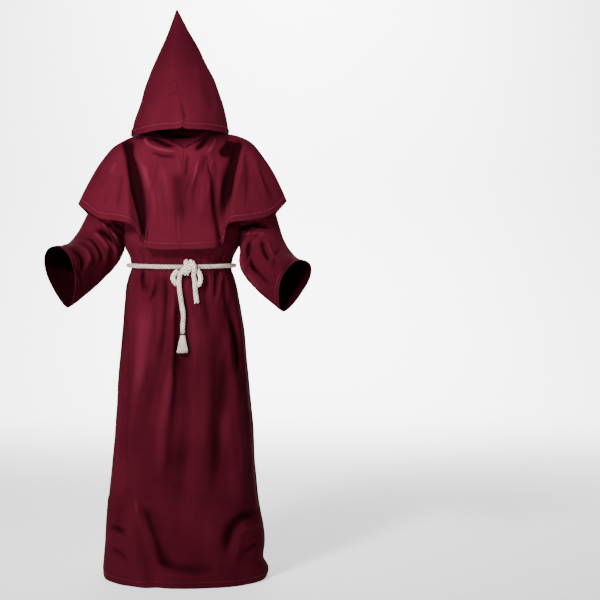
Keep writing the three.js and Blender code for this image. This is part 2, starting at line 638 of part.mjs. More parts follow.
// A smooth line through three points, r from 0 to 1
function throughThree(a, b, c, r) {
  const first = a.distanceTo(b);
  const second = b.distanceTo(c);
  const knee = first / (first + second);
  const before = b.clone().sub(a).divideScalar(knee);
  const after = c.clone().sub(b).divideScalar(1 - knee);
  const mid = before.clone().multiplyScalar(1 - knee).addScaledVector(after, knee);
  const low = r < knee;
  const span = low ? knee : 1 - knee;
  const t = low ? r / knee : (r - knee) / (1 - knee);
  const start = low ? a : b;
  const end = low ? b : c;
  const outwards = (slope) => slope.clone().multiplyScalar(1.5).addScaledVector(mid, -0.5);
  const m0 = low ? outwards(before) : mid.clone().multiplyScalar(HANG);
  const m1 = low ? mid : outwards(after);
  const t2 = t * t;
  const t3 = t2 * t;
  return vec(0, 0, 0)
    .addScaledVector(start, 2 * t3 - 3 * t2 + 1)
    .addScaledVector(m0, span * (t3 - 2 * t2 + t))
    .addScaledVector(end, 3 * t2 - 2 * t3)
    .addScaledVector(m1, span * (t3 - t2));
}

function capePoint(side, q, r) {
  const row = tableAt(side < 0 ? CAPE_LEFT : CAPE_RIGHT, "q", q);
  const shoulder = vec(row.sx, row.sy, row.sz);
  const hem = vec(row.hx, row.hy, row.hz);
  const p = throughThree(ringPoint(side, q), shoulder, hem, r);
  const out = vec(p.x, p.y * 1.3, 0).normalize();
  let fold = 0;
  for (const f of CAPE_FOLDS) {
    const along = (r - f.r0) / (f.r1 - f.r0);
    if (along < 0) continue;
    const apart = (q - lerp(f.q0, f.q1, clamp(along, 0, 1))) / f.width;
    fold += f.depth * ease(0, 0.3, along) * ease(1, 0.75, along) * Math.exp(-apart * apart);
  }
  return p.addScaledVector(out, fold);
}

function capePanel(stations) {
  const points = CAPE_REACH.map((r) => stations.map(([side, q]) => capePoint(side, q, r)));
  return panel(points, { flip: true });
}

const reversed = (list) => [...list].reverse();
const capeLeft = capePanel(reversed(CAPE_FRONT_Q).map((q) => [-1, q]));
const capeRight = capePanel(CAPE_FRONT_Q.map((q) => [1, q]));
const capeBack = capePanel([
  ...CAPE_BACK_Q.map((q) => [1, q]),
  ...reversed(CAPE_BACK_Q).slice(1).map((q) => [-1, q]),
]);

// Hood

function hoodShell(side, angle, z) {
  const row = tableAt(HOOD, "z", z);
  const s = Math.sin(angle * DEG);
  const c = Math.cos(angle * DEG);
  const wide = side < 0 ? row.left : row.right;
  const shape = 2 / (c >= 0 ? HOOD_FRONT_SHAPE : HOOD_BACK_SHAPE);
  const blend = 2 / lerp(HOOD_FRONT_SHAPE, HOOD_BACK_SHAPE, ease(60, 120, angle));
  const deep = c >= 0 ? row.mid - row.front : row.back - row.mid;
  return vec(row.ridge + side * wide * Math.pow(s, blend), row.mid - deep * power(c, shape), z);
}

const HOOD_ANGLES = [];
for (let j = 0; j < HOOD_BRIM_COLUMNS; j++) {
  HOOD_ANGLES.push({ angle: (HOOD_CORNER * j) / HOOD_BRIM_COLUMNS, q: -1 });
}
for (const q of [...CAPE_FRONT_Q, ...CAPE_BACK_Q.slice(1)]) {
  HOOD_ANGLES.push({ angle: lerp(HOOD_CORNER, 180, q), q });
}

function hoodPanel(side) {
  const peak = hoodShell(side, 0, HOOD[0].z);
  peak.x = HOOD[0].ridge + side * SEAM_GAP;
  peak.y = (HOOD[0].front + HOOD[0].back) / 2;
  const points = [];
  for (let i = 0; i <= HOOD_ROWS; i++) {
    points.push(
      HOOD_ANGLES.map(({ angle }) => {
        if (i === 0) return peak.clone();
        const brim = tableAt(BRIM, "a", angle).z;
        return hoodShell(side, angle, lerp(HOOD[0].z, brim, (i / HOOD_ROWS) ** 0.9));
      }),
    );
  }
  for (const t of HOOD_ROLL) {
    points.push(
      HOOD_ANGLES.map(({ angle, q }) => {
        if (q < 0) return null;
        const start = hoodShell(side, angle, tableAt(BRIM, "a", angle).z);
        const end = ringPoint(side, Math.max(q, HOOD_FROM_V));
        end.z += RING_CLEAR;
        const under = start.clone().add(vec(0, 0, -ROLL_DROP));
        const near = start.clone().lerp(end, 0.5).add(vec(0, 0, ROLL_LIFT));
        const over = end.clone().add(vec(side * 8 * Math.sin(q * Math.PI), -ROLL_FORWARD, 2 * ROLL_LIFT));
        near.lerp(over, ease(0.55, 0.2, q));
        const u = 1 - t;
        const swell = vec(0, 0, 0);
        if (q < ROLL_SIDE_Q) {
          const chord = ringPoint(side, ROLL_SIDE_Q).lerp(ringPoint(side, q), t);
          swell.copy(ringPoint(side, lerp(ROLL_SIDE_Q, q, t))).sub(chord).multiplyScalar(0.75);
        }
        return swell
          .addScaledVector(start, u * u * u)
          .addScaledVector(under, 3 * u * u * t)
          .addScaledVector(near, 3 * u * t * t)
          .addScaledVector(end, t * t * t);
      }),
    );
  }
  return panel(points, { flip: side > 0 });
}

const hoodLeft = hoodPanel(-1);
const hoodRight = hoodPanel(1);

// Seams

const SKIRT_END = UPPER_ROWS + BODY_LEVELS.length - 1 - WAIST_ROW;
const FRONT_END = FRONT_NECK_COLUMNS + 2 * SHOULDER_COLUMNS;
const BACK_END = BACK_NECK_COLUMNS + 2 * SHOULDER_COLUMNS;
const AROUND = 2 * UPPER_ROWS;
const CAPE_FRONT_END = CAPE_FRONT_Q.length - 1;
const CAPE_BACK_END = 2 * (CAPE_BACK_Q.length - 1);
const CAPE_HEM = CAPE_REACH.length - 1;
const HOOD_NECK = HOOD_ROWS + HOOD_ROLL.length;
const HOOD_END = HOOD_ANGLES.length - 1;
const HOOD_SHOULDER = HOOD_BRIM_COLUMNS + CAPE_FRONT_END;
sewAll([
  [columnEdge(bodiceFront, 0, UPPER_ROWS, WAIST_ROW, 1), columnEdge(bodiceBack, 0, UPPER_ROWS, WAIST_ROW, 1)],
  [
    columnEdge(bodiceFront, FRONT_END, UPPER_ROWS, WAIST_ROW, -1),
    columnEdge(bodiceBack, BACK_END, UPPER_ROWS, WAIST_ROW, -1),
  ],
  [columnEdge(skirtFront, 0, 0, SKIRT_END, 1), columnEdge(skirtBack, 0, 0, SKIRT_END, 1)],
  [columnEdge(skirtFront, FRONT_END, 0, SKIRT_END, -1), columnEdge(skirtBack, BACK_END, 0, SKIRT_END, -1)],
  [rowEdge(bodiceFront, WAIST_ROW, 0, FRONT_END, -1), rowEdge(skirtFront, 0, 0, FRONT_END, 1)],
  [rowEdge(bodiceBack, WAIST_ROW, 0, BACK_END, -1), rowEdge(skirtBack, 0, 0, BACK_END, 1)],
  [rowEdge(bodiceFront, 0, 0, SHOULDER_COLUMNS, 1), rowEdge(bodiceBack, 0, 0, SHOULDER_COLUMNS, 1)],
  [
    rowEdge(bodiceFront, 0, FRONT_END, FRONT_END - SHOULDER_COLUMNS, 1),
    rowEdge(bodiceBack, 0, BACK_END, BACK_END - SHOULDER_COLUMNS, 1),
  ],
  [columnEdge(bodiceFront, 0, 0, UPPER_ROWS, 1), rowEdge(sleeveLeft, 0, 0, UPPER_ROWS, 1)],
  [columnEdge(bodiceBack, 0, 0, UPPER_ROWS, 1), rowEdge(sleeveLeft, 0, AROUND, UPPER_ROWS, 1)],
  [columnEdge(bodiceFront, FRONT_END, 0, UPPER_ROWS, -1), rowEdge(sleeveRight, 0, 0, UPPER_ROWS, 1)],
  [columnEdge(bodiceBack, BACK_END, 0, UPPER_ROWS, -1), rowEdge(sleeveRight, 0, AROUND, UPPER_ROWS, 1)],
  [columnEdge(capeLeft, CAPE_FRONT_END, 0, CAPE_HEM, -1), columnEdge(capeRight, 0, 0, CAPE_HEM, 1)],
  [columnEdge(capeLeft, 0, 0, CAPE_HEM, 1), columnEdge(capeBack, CAPE_BACK_END, 0, CAPE_HEM, -1)],
  [columnEdge(capeRight, CAPE_FRONT_END, 0, CAPE_HEM, -1), columnEdge(capeBack, 0, 0, CAPE_HEM, 1)],
  [columnEdge(hoodLeft, 0, 0, HOOD_ROWS, 1), columnEdge(hoodRight, 0, 0, HOOD_ROWS, 1)],
  [columnEdge(hoodLeft, HOOD_END, 0, HOOD_NECK, -1), columnEdge(hoodRight, HOOD_END, 0, HOOD_NECK, -1)],
  [
    rowEdge(hoodLeft, HOOD_NECK, HOOD_SHOULDER, HOOD_BRIM_COLUMNS, -1),
    rowEdge(capeLeft, 0, 0, CAPE_FRONT_END, 1),
  ],
  [
    rowEdge(hoodRight, HOOD_NECK, HOOD_BRIM_COLUMNS, HOOD_SHOULDER, -1),
    rowEdge(capeRight, 0, 0, CAPE_FRONT_END, 1),
  ],
  [
    rowEdge(hoodRight, HOOD_NECK, HOOD_SHOULDER, HOOD_END, -1),
    rowEdge(capeBack, 0, 0, CAPE_BACK_END / 2, 1),
  ],
  [
    rowEdge(hoodLeft, HOOD_NECK, HOOD_END, HOOD_SHOULDER, -1),
    rowEdge(capeBack, 0, CAPE_BACK_END / 2, CAPE_BACK_END, 1),
  ],
]);

addCloth("bodice_front", bodiceFront);
addCloth("bodice_back", bodiceBack);
addCloth("skirt_front", skirtFront);
addCloth("skirt_back", skirtBack);
addCloth("sleeve_left", sleeveLeft);
addCloth("sleeve_right", sleeveRight);
addCloth("cape_front_left", capeLeft);
addCloth("cape_front_right", capeRight);
addCloth("cape_back", capeBack);
addCloth("hood_left", hoodLeft);
addCloth("hood_right", hoodRight);

// Rope

function smoothPath(points, steps, closed = false) {
  const curve = new THREE.CatmullRomCurve3(points, closed, "centripetal");
  return closed ? curve.getSpacedPoints(steps).slice(0, steps) : curve.getSpacedPoints(steps);
}

// A round tube along a path; the radii at its ends close it with a rounded tip
function tube(path, radius, { closed = false, sides = ROPE_SIDES } = {}) {
  const count = path.length;
  const radiusAt = typeof radius === "function" ? radius : () => radius;
  const tangent = path.map((p, k) => {
    const next = closed ? path[(k + 1) % count] : path[Math.min(k + 1, count - 1)];
    const last = closed ? path[(k + count - 1) % count] : path[Math.max(k - 1, 0)];
    return next.clone().sub(last).normalize();
  });
  const side = [vec(0, 0, 1).cross(tangent[0])];
  if (side[0].length() < 0.2) side[0] = vec(1, 0, 0).cross(tangent[0]);
  side[0].normalize();
  for (let k = 1; k < count; k++) {
    const s = side[k - 1].clone();
    side.push(s.addScaledVector(tangent[k], -s.dot(tangent[k])).normalize());
  }
  const rings = path.map((p, k) => ({ p, t: tangent[k], s: side[k], r: radiusAt(k / (count - 1)) }));
  if (!closed) {
    for (const [at, way] of [[0, -1], [count - 1, 1]]) {
      const from = rings[way < 0 ? 0 : rings.length - 1];
      const p = from.p.clone().addScaledVector(from.t, way * from.r * TIP_LONG);
      const tip = { p, t: from.t, s: from.s, r: from.r * TIP_WIDE };
      if (way < 0) rings.unshift(tip);
      else rings.push(tip);
    }
  }
  const corners = rings.flatMap(({ p, t, s, r }) =>
    Array.from({ length: sides }, (_, m) => {
      const a = (2 * Math.PI * m) / sides;
      const up = t.clone().cross(s);
      return p.clone().addScaledVector(s, r * Math.cos(a)).addScaledVector(up, r * Math.sin(a));
    }),
  );
  const triangles = [];
  const last = closed ? rings.length : rings.length - 1;
  for (let k = 0; k < last; k++) {
    const a = k * sides;
    const b = ((k + 1) % rings.length) * sides;
    for (let m = 0; m < sides; m++) {
      const n = (m + 1) % sides;
      triangles.push([a + m, a + n, b + n], [a + m, b + n, b + m]);
    }
  }
  if (!closed) {
    const end = (rings.length - 1) * sides;
    for (let m = 1; m + 1 < sides; m++) triangles.push([0, m + 1, m], [end, end + m, end + m + 1]);
  }
  return { corners, triangles };
}

const addTube = (name, path, radius, options) => {
  const { corners, triangles } = tube(path, radius, options);
  return addMesh(name, corners, triangles, materials.rope);
};

// Depth of the skirt's front surface at a place across it
function frontDepth(x, z) {
  let low = -88;
  let high = 88;
  for (let k = 0; k < 30; k++) {
    const mid = (low + high) / 2;
    if (bodyPoint(mid, z).x < x) low = mid;
    else high = mid;
  }
  return bodyPoint(low, z).y;
}

const BELT_STEPS = 64;
const beltPath = Array.from({ length: BELT_STEPS }, (_, k) => {
  const angle = (360 * k) / BELT_STEPS - 180;
  const z = BELT_Z + BELT_RISE * Math.sin(angle * DEG) ** 2;
  const p = bodyPoint(angle, z);
  const q = bodyPoint(angle + 0.5, z);
  const out = q.sub(p).cross(vec(0, 0, 1)).normalize();
  return p.addScaledVector(out, ROPE / 2 + ROPE_CLEAR);
});
addTube("rope_waist", beltPath, ROPE / 2, { closed: true });

function tailPath(rows, steps) {
  return smoothPath(rows.map(({ x, out, z }) => vec(x, frontDepth(x, z) - out, z)), steps);
}

const longPath = tailPath(LONG_TAIL, 14);
addTube("rope_tail_long", longPath, ROPE / 2);
addTube("rope_tail_short", tailPath(SHORT_TAIL, 8), (t) => ROPE / 2 + 1.5 * ease(0.6, 1, t));
const loopPath = (rows) => smoothPath(rows.map(({ x, y, z }) => vec(x, y, z)), 8);
addTube("rope_loop_left", loopPath(LOOP_LEFT), ROPE / 2 - 0.6);
addTube("rope_loop_right", loopPath(LOOP_RIGHT), ROPE / 2 - 0.6);

// A closed solid for joining, from corners and triangles
function solidOf({ corners, triangles }) {
  const mesh = new wasm.Mesh({
    numProp: 3,
    vertProperties: new Float32Array(corners.flatMap((p) => [p.x, p.y, p.z])),
    triVerts: new Uint32Array(triangles.flat()),
  });
  return new wasm.Manifold(mesh);
}

function addJoined(name, pieces) {
  const mesh = wasm.Manifold.union(pieces).getMesh();
  const corners = [];
  for (let k = 0; k < mesh.numVert; k++) {
    const [x, y, z] = mesh.vertProperties.subarray(k * mesh.numProp, k * mesh.numProp + 3);
    corners.push(vec(x, y, z));
  }
  const triangles = [];
  for (let k = 0; k < mesh.triVerts.length; k += 3) {
    triangles.push([...mesh.triVerts.subarray(k, k + 3)]);
  }
  return addMesh(name, corners, triangles, materials.rope);
}

// The knot: two turns of rope over a tight core, in front of the waist rope
const core = wasm.Manifold.sphere(1, 16)
  .scale([KNOT.wide, KNOT.deep, KNOT.high])
  .translate([KNOT.x, KNOT.y, KNOT.z]);
const turns = KNOT_TURNS.map((rows) =>
  solidOf(tube(smoothPath(rows.map(({ x, y, z }) => vec(x, y, z)), 8), ROPE / 2 - 1)),
);
addJoined("rope_knot", [core, ...turns]);

// The frayed end of the long tail: strands that spread from a bound head
const tailEnd = longPath[longPath.length - 1];
const head = vec(tailEnd.x, tailEnd.y - 1, tailEnd.z - ROPE * 0.225 - 1.2);
const strands = [];
for (const { strands: count, radius, spread } of TASSEL_RINGS) {
  for (let k = 0; k < count; k++) {
    const a = (2 * Math.PI * (k + 0.5)) / count;
    const path = [0, 0.45, 1].map((t) => {
      const reach = lerp(radius, spread, t ** 0.8);
      const flat = lerp(1, TASSEL_FLAT, t);
      const drop = TASSEL_HEAD * 0.5 + (TASSEL_LENGTH + (k % 3) * 1.5) * t;
      return vec(reach * Math.cos(a) - 1.5 * t, reach * Math.sin(a) * flat - TASSEL_LEAN * t, -drop).add(head);
    });
    strands.push(solidOf(tube(path, STRAND_RADIUS, { sides: 4 })));
  }
}
const bound = wasm.Manifold.cylinder(TASSEL_HEAD, TASSEL_RADIUS, TASSEL_RADIUS, 14)
  .translate([head.x, head.y, head.z - TASSEL_HEAD]);
addJoined("rope_tassel", [bound, ...strands]);

export default group;
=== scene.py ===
"""Hooded robe with shoulder cape and rope belt: the looks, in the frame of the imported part."""
import math
import bpy
import numpy as np
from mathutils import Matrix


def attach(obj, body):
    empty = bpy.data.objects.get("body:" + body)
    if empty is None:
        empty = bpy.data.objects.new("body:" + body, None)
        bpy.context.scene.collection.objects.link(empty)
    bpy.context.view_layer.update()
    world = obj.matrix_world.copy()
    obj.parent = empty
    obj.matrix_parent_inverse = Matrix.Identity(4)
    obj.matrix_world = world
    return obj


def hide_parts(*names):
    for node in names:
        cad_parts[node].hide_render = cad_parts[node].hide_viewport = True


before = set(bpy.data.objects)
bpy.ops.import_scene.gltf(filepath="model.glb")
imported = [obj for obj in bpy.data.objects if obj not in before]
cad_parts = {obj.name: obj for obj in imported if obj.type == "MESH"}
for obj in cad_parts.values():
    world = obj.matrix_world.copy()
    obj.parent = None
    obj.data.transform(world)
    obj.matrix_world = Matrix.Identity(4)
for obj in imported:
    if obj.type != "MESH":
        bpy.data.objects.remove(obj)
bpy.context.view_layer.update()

# Camera: straight ahead of the robe, a little below its shoulders
EYE_DISTANCE = 4.5
EYE_Z = -0.4
PX_MM = 3.15  # millimetres for each pixel of the front view, at the depth of the shoulders
MID_PX, EYE_PX = 182.0, 267.0  # where the middle of the robe and the eye's level fall in the front view
FLOOR_Z = -1.3662

camera = bpy.data.objects.new("camera", bpy.data.cameras.new("camera"))
bpy.context.collection.objects.link(camera)
camera.location = (0, -EYE_DISTANCE, EYE_Z)
camera.rotation_euler = (math.radians(90), 0, 0)
camera.data.sensor_width = 36
camera.data.lens = EYE_DISTANCE * 1000 * 36 / (600 * PX_MM)
camera.data.shift_x = (300 - MID_PX) / 600
camera.data.shift_y = -(300 - EYE_PX) / 600
bpy.context.scene.camera = camera


# Tables and small sums

def table(columns, rows):
    """A table with named columns: the numbers of each column, from the top row down."""
    data = np.array([[float(v) for v in row.split()] for row in rows.strip().splitlines()])
    return {name: data[:, k] for k, name in enumerate(columns.split())}


def look_up(tab, key, name, at):
    """A column of a table at values of its key, smoothly between the rows and never past them."""
    x, y = tab[key], tab[name]
    if x[0] > x[-1]:
        x, y = x[::-1], y[::-1]
    rate = np.diff(y) / np.diff(x)
    before, after = rate[:-1], rate[1:]
    turn = before * after <= 0
    inner = np.where(turn, 0, 2 * before * after / np.where(turn, 1, before + after))
    slope = np.concatenate([rate[:1], inner, rate[-1:]])
    at = np.asarray(at, float)
    i = np.clip(np.searchsorted(x, at) - 1, 0, len(x) - 2)
    span = x[i + 1] - x[i]
    t = np.clip((at - x[i]) / span, 0, 1)
    return bend(y[i], y[i + 1], slope[i] * span, slope[i + 1] * span, t)


def row_at(tab, key, at):
    """Every column of a table at values of its key."""
    return {name: look_up(tab, key, name, at) for name in tab}


def ease(a, b, v):
    """Smoothly from 0 at a to 1 at b, which may be the smaller."""
    t = np.clip((np.asarray(v, float) - a) / (b - a), 0, 1)
    return t * t * (3 - 2 * t)


def lerp(a, b, t):
    return a + (b - a) * t


def bend(a, b, leave, arrive, t):
    """From a to b, with the slopes at both ends."""
    return (a * (2 * t**3 - 3 * t**2 + 1) + leave * (t**3 - 2 * t**2 + t)
            + b * (3 * t**2 - 2 * t**3) + arrive * (t**3 - t**2))


def power(v, e):
    """A power that keeps the number's sign."""
    return np.sign(v) * np.abs(v) ** e


def vec(x, y, z):
    return np.stack(np.broadcast_arrays(np.asarray(x, float), y, z), axis=-1)


def unit(v):
    return v / np.maximum(np.linalg.norm(v, axis=-1, keepdims=True), 1e-9)


# The robe's form, in millimetres. Angles in degrees from centre front, right side 90.

CLOTH = 1.5
ARMPIT_Z = -335
NECK_SIDE, NECK_FRONT, NECK_BACK = 82, 78, 76
NECK_FRONT_Z, NECK_SIDE_Z, NECK_BACK_Z = -2, 24, 30
SHOULDER_X, SHOULDER_Z, SHOULDER_PAD = 188, -38, 18.6
NECK_SHARE = 0.44

# Level sections of the tunic below the armpits: reach each way, and how square they are
BODY = table("z left right front back square", """
-335 180 180 124 118 2.25
-372 164 162 118 110 2.2
-400 160 157 114 106 2.2
-435 171 168 127 119 2.2
-480 182 180 139 131 2.2
-600 193 199 158 152 2.2
-720 203 212 174 168 2.2
-880 213 226 189 184 2.2
-1000 223 234 198 194 2.2
-1150 236 247 206 204 2.2
-1255 242 261 211 210 2.25
-1305 246 255 212 212 2.25
-1345 249 272 216 214 2.3
-1366 248 266 214 214 2.3
""")

# Main folds of the skirt: angle and height at each end, half width in degrees, depth
SKIRT_FOLDS = table("a0 z0 a1 z1 width depth", """
-41 -405 -38 -520 5 -9
-22 -410 -22 -640 6 -11
-12 -430 -15 -900 7 7
4 -470 -6 -1060 9 -17
15 -430 12 -700 6 6
22 -440 24 -600 5 -8
30 -600 28 -960 8 -10
56 -470 52 -720 6 -8
44 -560 46 -1240 8 7
-40 -560 -46 -1000 8 6
-58 -700 -50 -1180 7 -9
-42 -1130 -22 -1390 6 12
-33 -1130 -14 -1390 5 -12
84 -440 80 -1150 9 -9
-86 -440 -84 -1120 9 -8
112 -430 106 -1280 9 -13
134 -425 132 -900 8 -10
158 -430 162 -1240 9 -15
-112 -430 -108 -1180 9 -12
-136 -425 -138 -1000 8 -11
-160 -430 -156 -1300 9 -14
178 -450 180 -1100 8 8
""")
FOLD_RISE, FOLD_FADE = 70, 150

# Sleeves: top and bottom of each section, heading, half widths towards the body and away
SLEEVES = {
    -1: table("s tx ty tz bx by bz head inner outer", """
        0 -188 0 -38 -180 0 -335 0 58 56
        1 -235 0 -90 -181 -8 -345 4 63 62
        2 -272 -8 -165 -184 -22 -354 12 66 66
        3 -291 -25 -235 -190 -40 -368 28 62 66
        4 -302 -60 -280 -203 -72 -389 45 58 62
        5 -315 -110 -308 -228 -118 -420 58 52 56
        6 -333 -170 -325 -262 -174 -456 64 48 50
        7 -352 -235 -334 -303 -238 -494 64 47 47
        8 -374 -292 -339 -336 -288 -520 62 47 49
    """),
    1: table("s tx ty tz bx by bz head inner outer", """
        0 188 0 -38 180 0 -335 0 58 56
        1 235 0 -88 181 -8 -346 4 63 62
        2 270 -8 -165 181 -22 -357 12 66 66
        3 290 -25 -238 180 -46 -374 28 62 66
        4 294 -60 -292 184 -84 -403 45 58 60
        5 303 -110 -328 199 -128 -434 58 52 54
        6 316 -170 -354 223 -182 -464 64 48 50
        7 333 -235 -371 262 -240 -500 64 47 47
        8 353 -292 -380 300 -288 -531 62 46 48
    """),
}
SLEEVE_PEAR = 0.36
SLEEVE_END = 8
SLEEVE_FOLDS = table("s phi slant wide round depth", """
2.9 70 0.5 0.32 60 -8
3.6 80 0.9 0.3 55 7
4.3 85 1.2 0.34 55 -8
5.4 100 1.6 0.5 50 5
3.2 280 -0.4 0.34 50 -7
4.6 285 -0.6 0.45 50 -6
""")

RING_SIDE, RING_FRONT, RING_BACK, RING_MID = 108, 106, 92, -8
RING_FRONT_Z, RING_SIDE_Z, RING_BACK_Z, RING_V_X = -34, 25, 50, 6
HANG = 0.55

# Cape, q from centre front (0) to centre back (1): shoulder point and hem point
CAPES = {
    -1: table("q sx sy sz hx hy hz", """
        0 4 -130 -95 -6 -163 -347
        0.12 -46 -129 -92 -60 -160 -347
        0.21 -84 -121 -76 -110 -150 -342
        0.265 -106 -104 -64 -128 -122 -330
        0.31 -126 -94 -50 -141 -128 -292
        0.36 -144 -90 -40 -160 -142 -268
        0.44 -170 -74 -28 -205 -132 -258
        0.52 -192 -48 -20 -252 -110 -252
        0.58 -203 -24 -16 -288 -86 -230
        0.63 -208 -4 -16 -324 -52 -204
        0.7 -205 22 -16 -322 6 -210
        0.78 -186 62 -20 -290 74 -248
        0.86 -140 106 -30 -214 126 -306
        0.93 -76 132 -38 -108 156 -342
        1 0 140 -40 0 164 -352
        1.07 76 132 -38 108 156 -342
    """),
    1: table("q sx sy sz hx hy hz", """
        0 4 -130 -95 -6 -163 -347
        0.12 50 -129 -90 50 -161 -346
        0.21 86 -122 -74 100 -153 -342
        0.265 108 -106 -60 130 -132 -334
        0.31 128 -95 -46 134 -124 -285
        0.36 146 -90 -34 150 -138 -264
        0.44 174 -74 -20 204 -130 -258
        0.52 197 -48 -8 254 -106 -248
        0.58 206 -24 -4 292 -82 -228
        0.63 210 -4 -2 328 -46 -194
        0.7 206 22 -4 325 8 -202
        0.78 186 62 -12 292 76 -244
        0.86 140 106 -28 214 127 -304
        0.93 76 132 -38 108 156 -342
        1 0 140 -40 0 164 -352
        1.07 -76 132 -38 -108 156 -342
    """),
}
CAPE_SEAM_Q = 0.66
CAPE_FOLDS = table("q0 q1 r0 r1 width depth", """
0.13 0.1 0.1 0.75 0.035 -6
0.2 0.27 0.1 1.2 0.024 -17
0.45 0.47 0.25 1.1 0.035 -6
0.76 0.74 0.2 1.1 0.03 -9
0.9 0.89 0.2 1.1 0.03 -10
""")

# Hood: level sections either side of the front seam
HOOD = table("z left right front mid back ridge", """
410 1 1 -22 -20 -18 -16
352 21 32 -52 -22 12 -17
299 42 62 -79 -25 38 -17
238 69 92 -108 -28 64 -17
169 97 125 -139 -30 90 -17
109 122 138 -166 -30 106 -9
55 148 144 -188 -30 112 -2
10 160 148 -204 -30 112 0
""")
HOOD_FRONT_SHAPE, HOOD_BACK_SHAPE = 1.5, 1.85
HOOD_CORNER = 76
BRIM = table("a z", """
0 23
12 17
40 17
76 15
92 32
130 52
180 66
""")
ROLL_DROP, ROLL_LIFT, ROLL_FORWARD, ROLL_SIDE_Q, HOOD_FROM_V, RING_TUCK = 11, 8, 19, 0.42, 0.006, 2.0


def body_point(angle, z):
    """The tunic's surface below the armpits, with its main folds."""
    angle, z = np.broadcast_arrays(np.asarray(angle, float), np.asarray(z, float))
    part = row_at(BODY, "z", z)
    sine, cosine = np.sin(np.radians(angle)), np.cos(np.radians(angle))
    wide = np.where(angle < 0, part["left"], part["right"])
    deep = np.where(cosine >= 0, part["front"], part["back"])
    x = wide * power(sine, 2 / part["square"])
    y = -deep * power(cosine, 2 / part["square"])
    out = unit(vec(x / wide**2, y / deep**2, 0))
    fold = np.zeros_like(x)
    for a0, z0, a1, z1, width, depth in zip(*SKIRT_FOLDS.values()):
        along = (z0 - z) / (z0 - z1)
        apart = (angle - lerp(a0, a1, along) + 180) % 360 - 180
        fade = ease(0, FOLD_RISE, z0 - z) * ease(0, FOLD_FADE, z - z1 + FOLD_FADE * 0.4)
        fold += np.where((along >= 0) & (along <= 1), depth * fade * np.exp(-((apart / width) ** 2)), 0)
    return vec(x, y, z) + out * fold[..., None]


def sleeve_point(side, s, phi, folded=True):
    """A sleeve's surface at section s and angle phi, which is 0 at its top."""
    s, phi = np.broadcast_arrays(np.asarray(s, float), np.asarray(phi, float))
    row = row_at(SLEEVES[side], "s", s)
    head = np.radians(row["head"])
    across = vec(-side * np.sin(head), -np.cos(head), 0)
    top, bottom = vec(row["tx"], row["ty"], row["tz"]), vec(row["bx"], row["by"], row["bz"])
    c, sn = np.cos(np.radians(phi)), np.sin(np.radians(phi))
    wide = np.where(sn >= 0, row["inner"], row["outer"])
    if folded:
        fade = ease(0, 1, s) * ease(SLEEVE_END, SLEEVE_END - 0.8, s)
        for at, turn, slant, reach, spread, depth in zip(*SLEEVE_FOLDS.values()):
            around = (phi - turn) / spread
            along = (s - at - slant * (phi - turn) / 90) / reach
            wide = wide + depth * fade * np.exp(-around * around - along * along)
    return ((top + bottom) / 2 + (top - bottom) / 2 * c[..., None]
            + across * (wide * sn * (1 + SLEEVE_PEAR * c))[..., None])


def tunic_top(u, back):
    """The edge of the neck and the shoulder line, u from -1 on the left to 1 on the right."""
    side = np.where(u < 0, -1, 1)
    a = np.minimum(np.abs(u) / NECK_SHARE, 1) * math.pi / 2
    y = NECK_BACK * np.cos(a) if back else -NECK_FRONT * np.cos(a)
    neck_z = lerp(NECK_BACK_Z if back else NECK_FRONT_Z, NECK_SIDE_Z, np.sin(a) ** 2)
    neck = vec(side * NECK_SIDE * np.sin(a), y, neck_z)
    t = np.clip((np.abs(u) - NECK_SHARE) / (1 - NECK_SHARE), 0, 1)
    shoulder_z = lerp(NECK_SIDE_Z, SHOULDER_Z, t) + SHOULDER_PAD * np.sin(math.pi * t)
    shoulder = vec(side * lerp(NECK_SIDE, SHOULDER_X, t), 0, shoulder_z)
    return np.where((np.abs(u) < NECK_SHARE)[..., None], neck, shoulder)


def panel_angle(u, back):
    return np.where(u < 0, -180, 180) - u * 90 if back else u * 90


def tunic_upper(u, t, back):
    """The tunic above the armpits, t from 0 at its top to 1; its sides are the armholes."""
    a = t * math.pi / 2
    out, fall = np.sin(a), 1 - np.cos(a)

    def between(top, low):
        return vec(lerp(top[..., 0], low[..., 0], out), lerp(top[..., 1], low[..., 1], out**0.85),
                   lerp(top[..., 2], low[..., 2], fall))

    p = between(tunic_top(u, back), body_point(panel_angle(u, back), ARMPIT_Z))
    side = np.where(u < 0, -1.0, 1.0)
    end = between(tunic_top(side, back), body_point(side * 90, ARMPIT_Z))
    phi = 360 - 180 * t if back else 180 * t
    hole = np.where((u < 0)[..., None], sleeve_point(-1, 0, phi, False), sleeve_point(1, 0, phi, False))
    return p + (hole - end) * ease(0.35, 1, np.abs(u))[..., None]


def ring_point(side, q):
    """The ring round the neck where cape and hood meet."""
    a = np.asarray(q, float) * math.pi
    s, c = np.sin(a), np.cos(a)
    front = c >= 0
    return vec(side * RING_SIDE * s + RING_V_X * np.maximum(c, 0) ** 2,
               RING_MID - np.where(front, RING_FRONT, RING_BACK) * c,
               lerp(np.where(front, RING_FRONT_Z, RING_BACK_Z), RING_SIDE_Z, s))


def through_three(a, b, c, r):
    """A smooth line from a through b to c."""
    first = np.linalg.norm(b - a, axis=-1, keepdims=True)
    second = np.linalg.norm(c - b, axis=-1, keepdims=True)
    knee = first / (first + second)
    r = r[..., None]
    before, after = (b - a) / knee, (c - b) / (1 - knee)
    mid = before * (1 - knee) + after * knee
    low = r < knee
    span = np.where(low, knee, 1 - knee)
    t = np.where(low, r / knee, (r - knee) / (1 - knee))
    start, end = np.where(low, a, b), np.where(low, b, c)
    m0 = np.where(low, 1.5 * before - 0.5 * mid, mid * HANG)
    m1 = np.where(low, mid, 1.5 * after - 0.5 * mid)
    return bend(start, end, m0 * span, m1 * span, t)


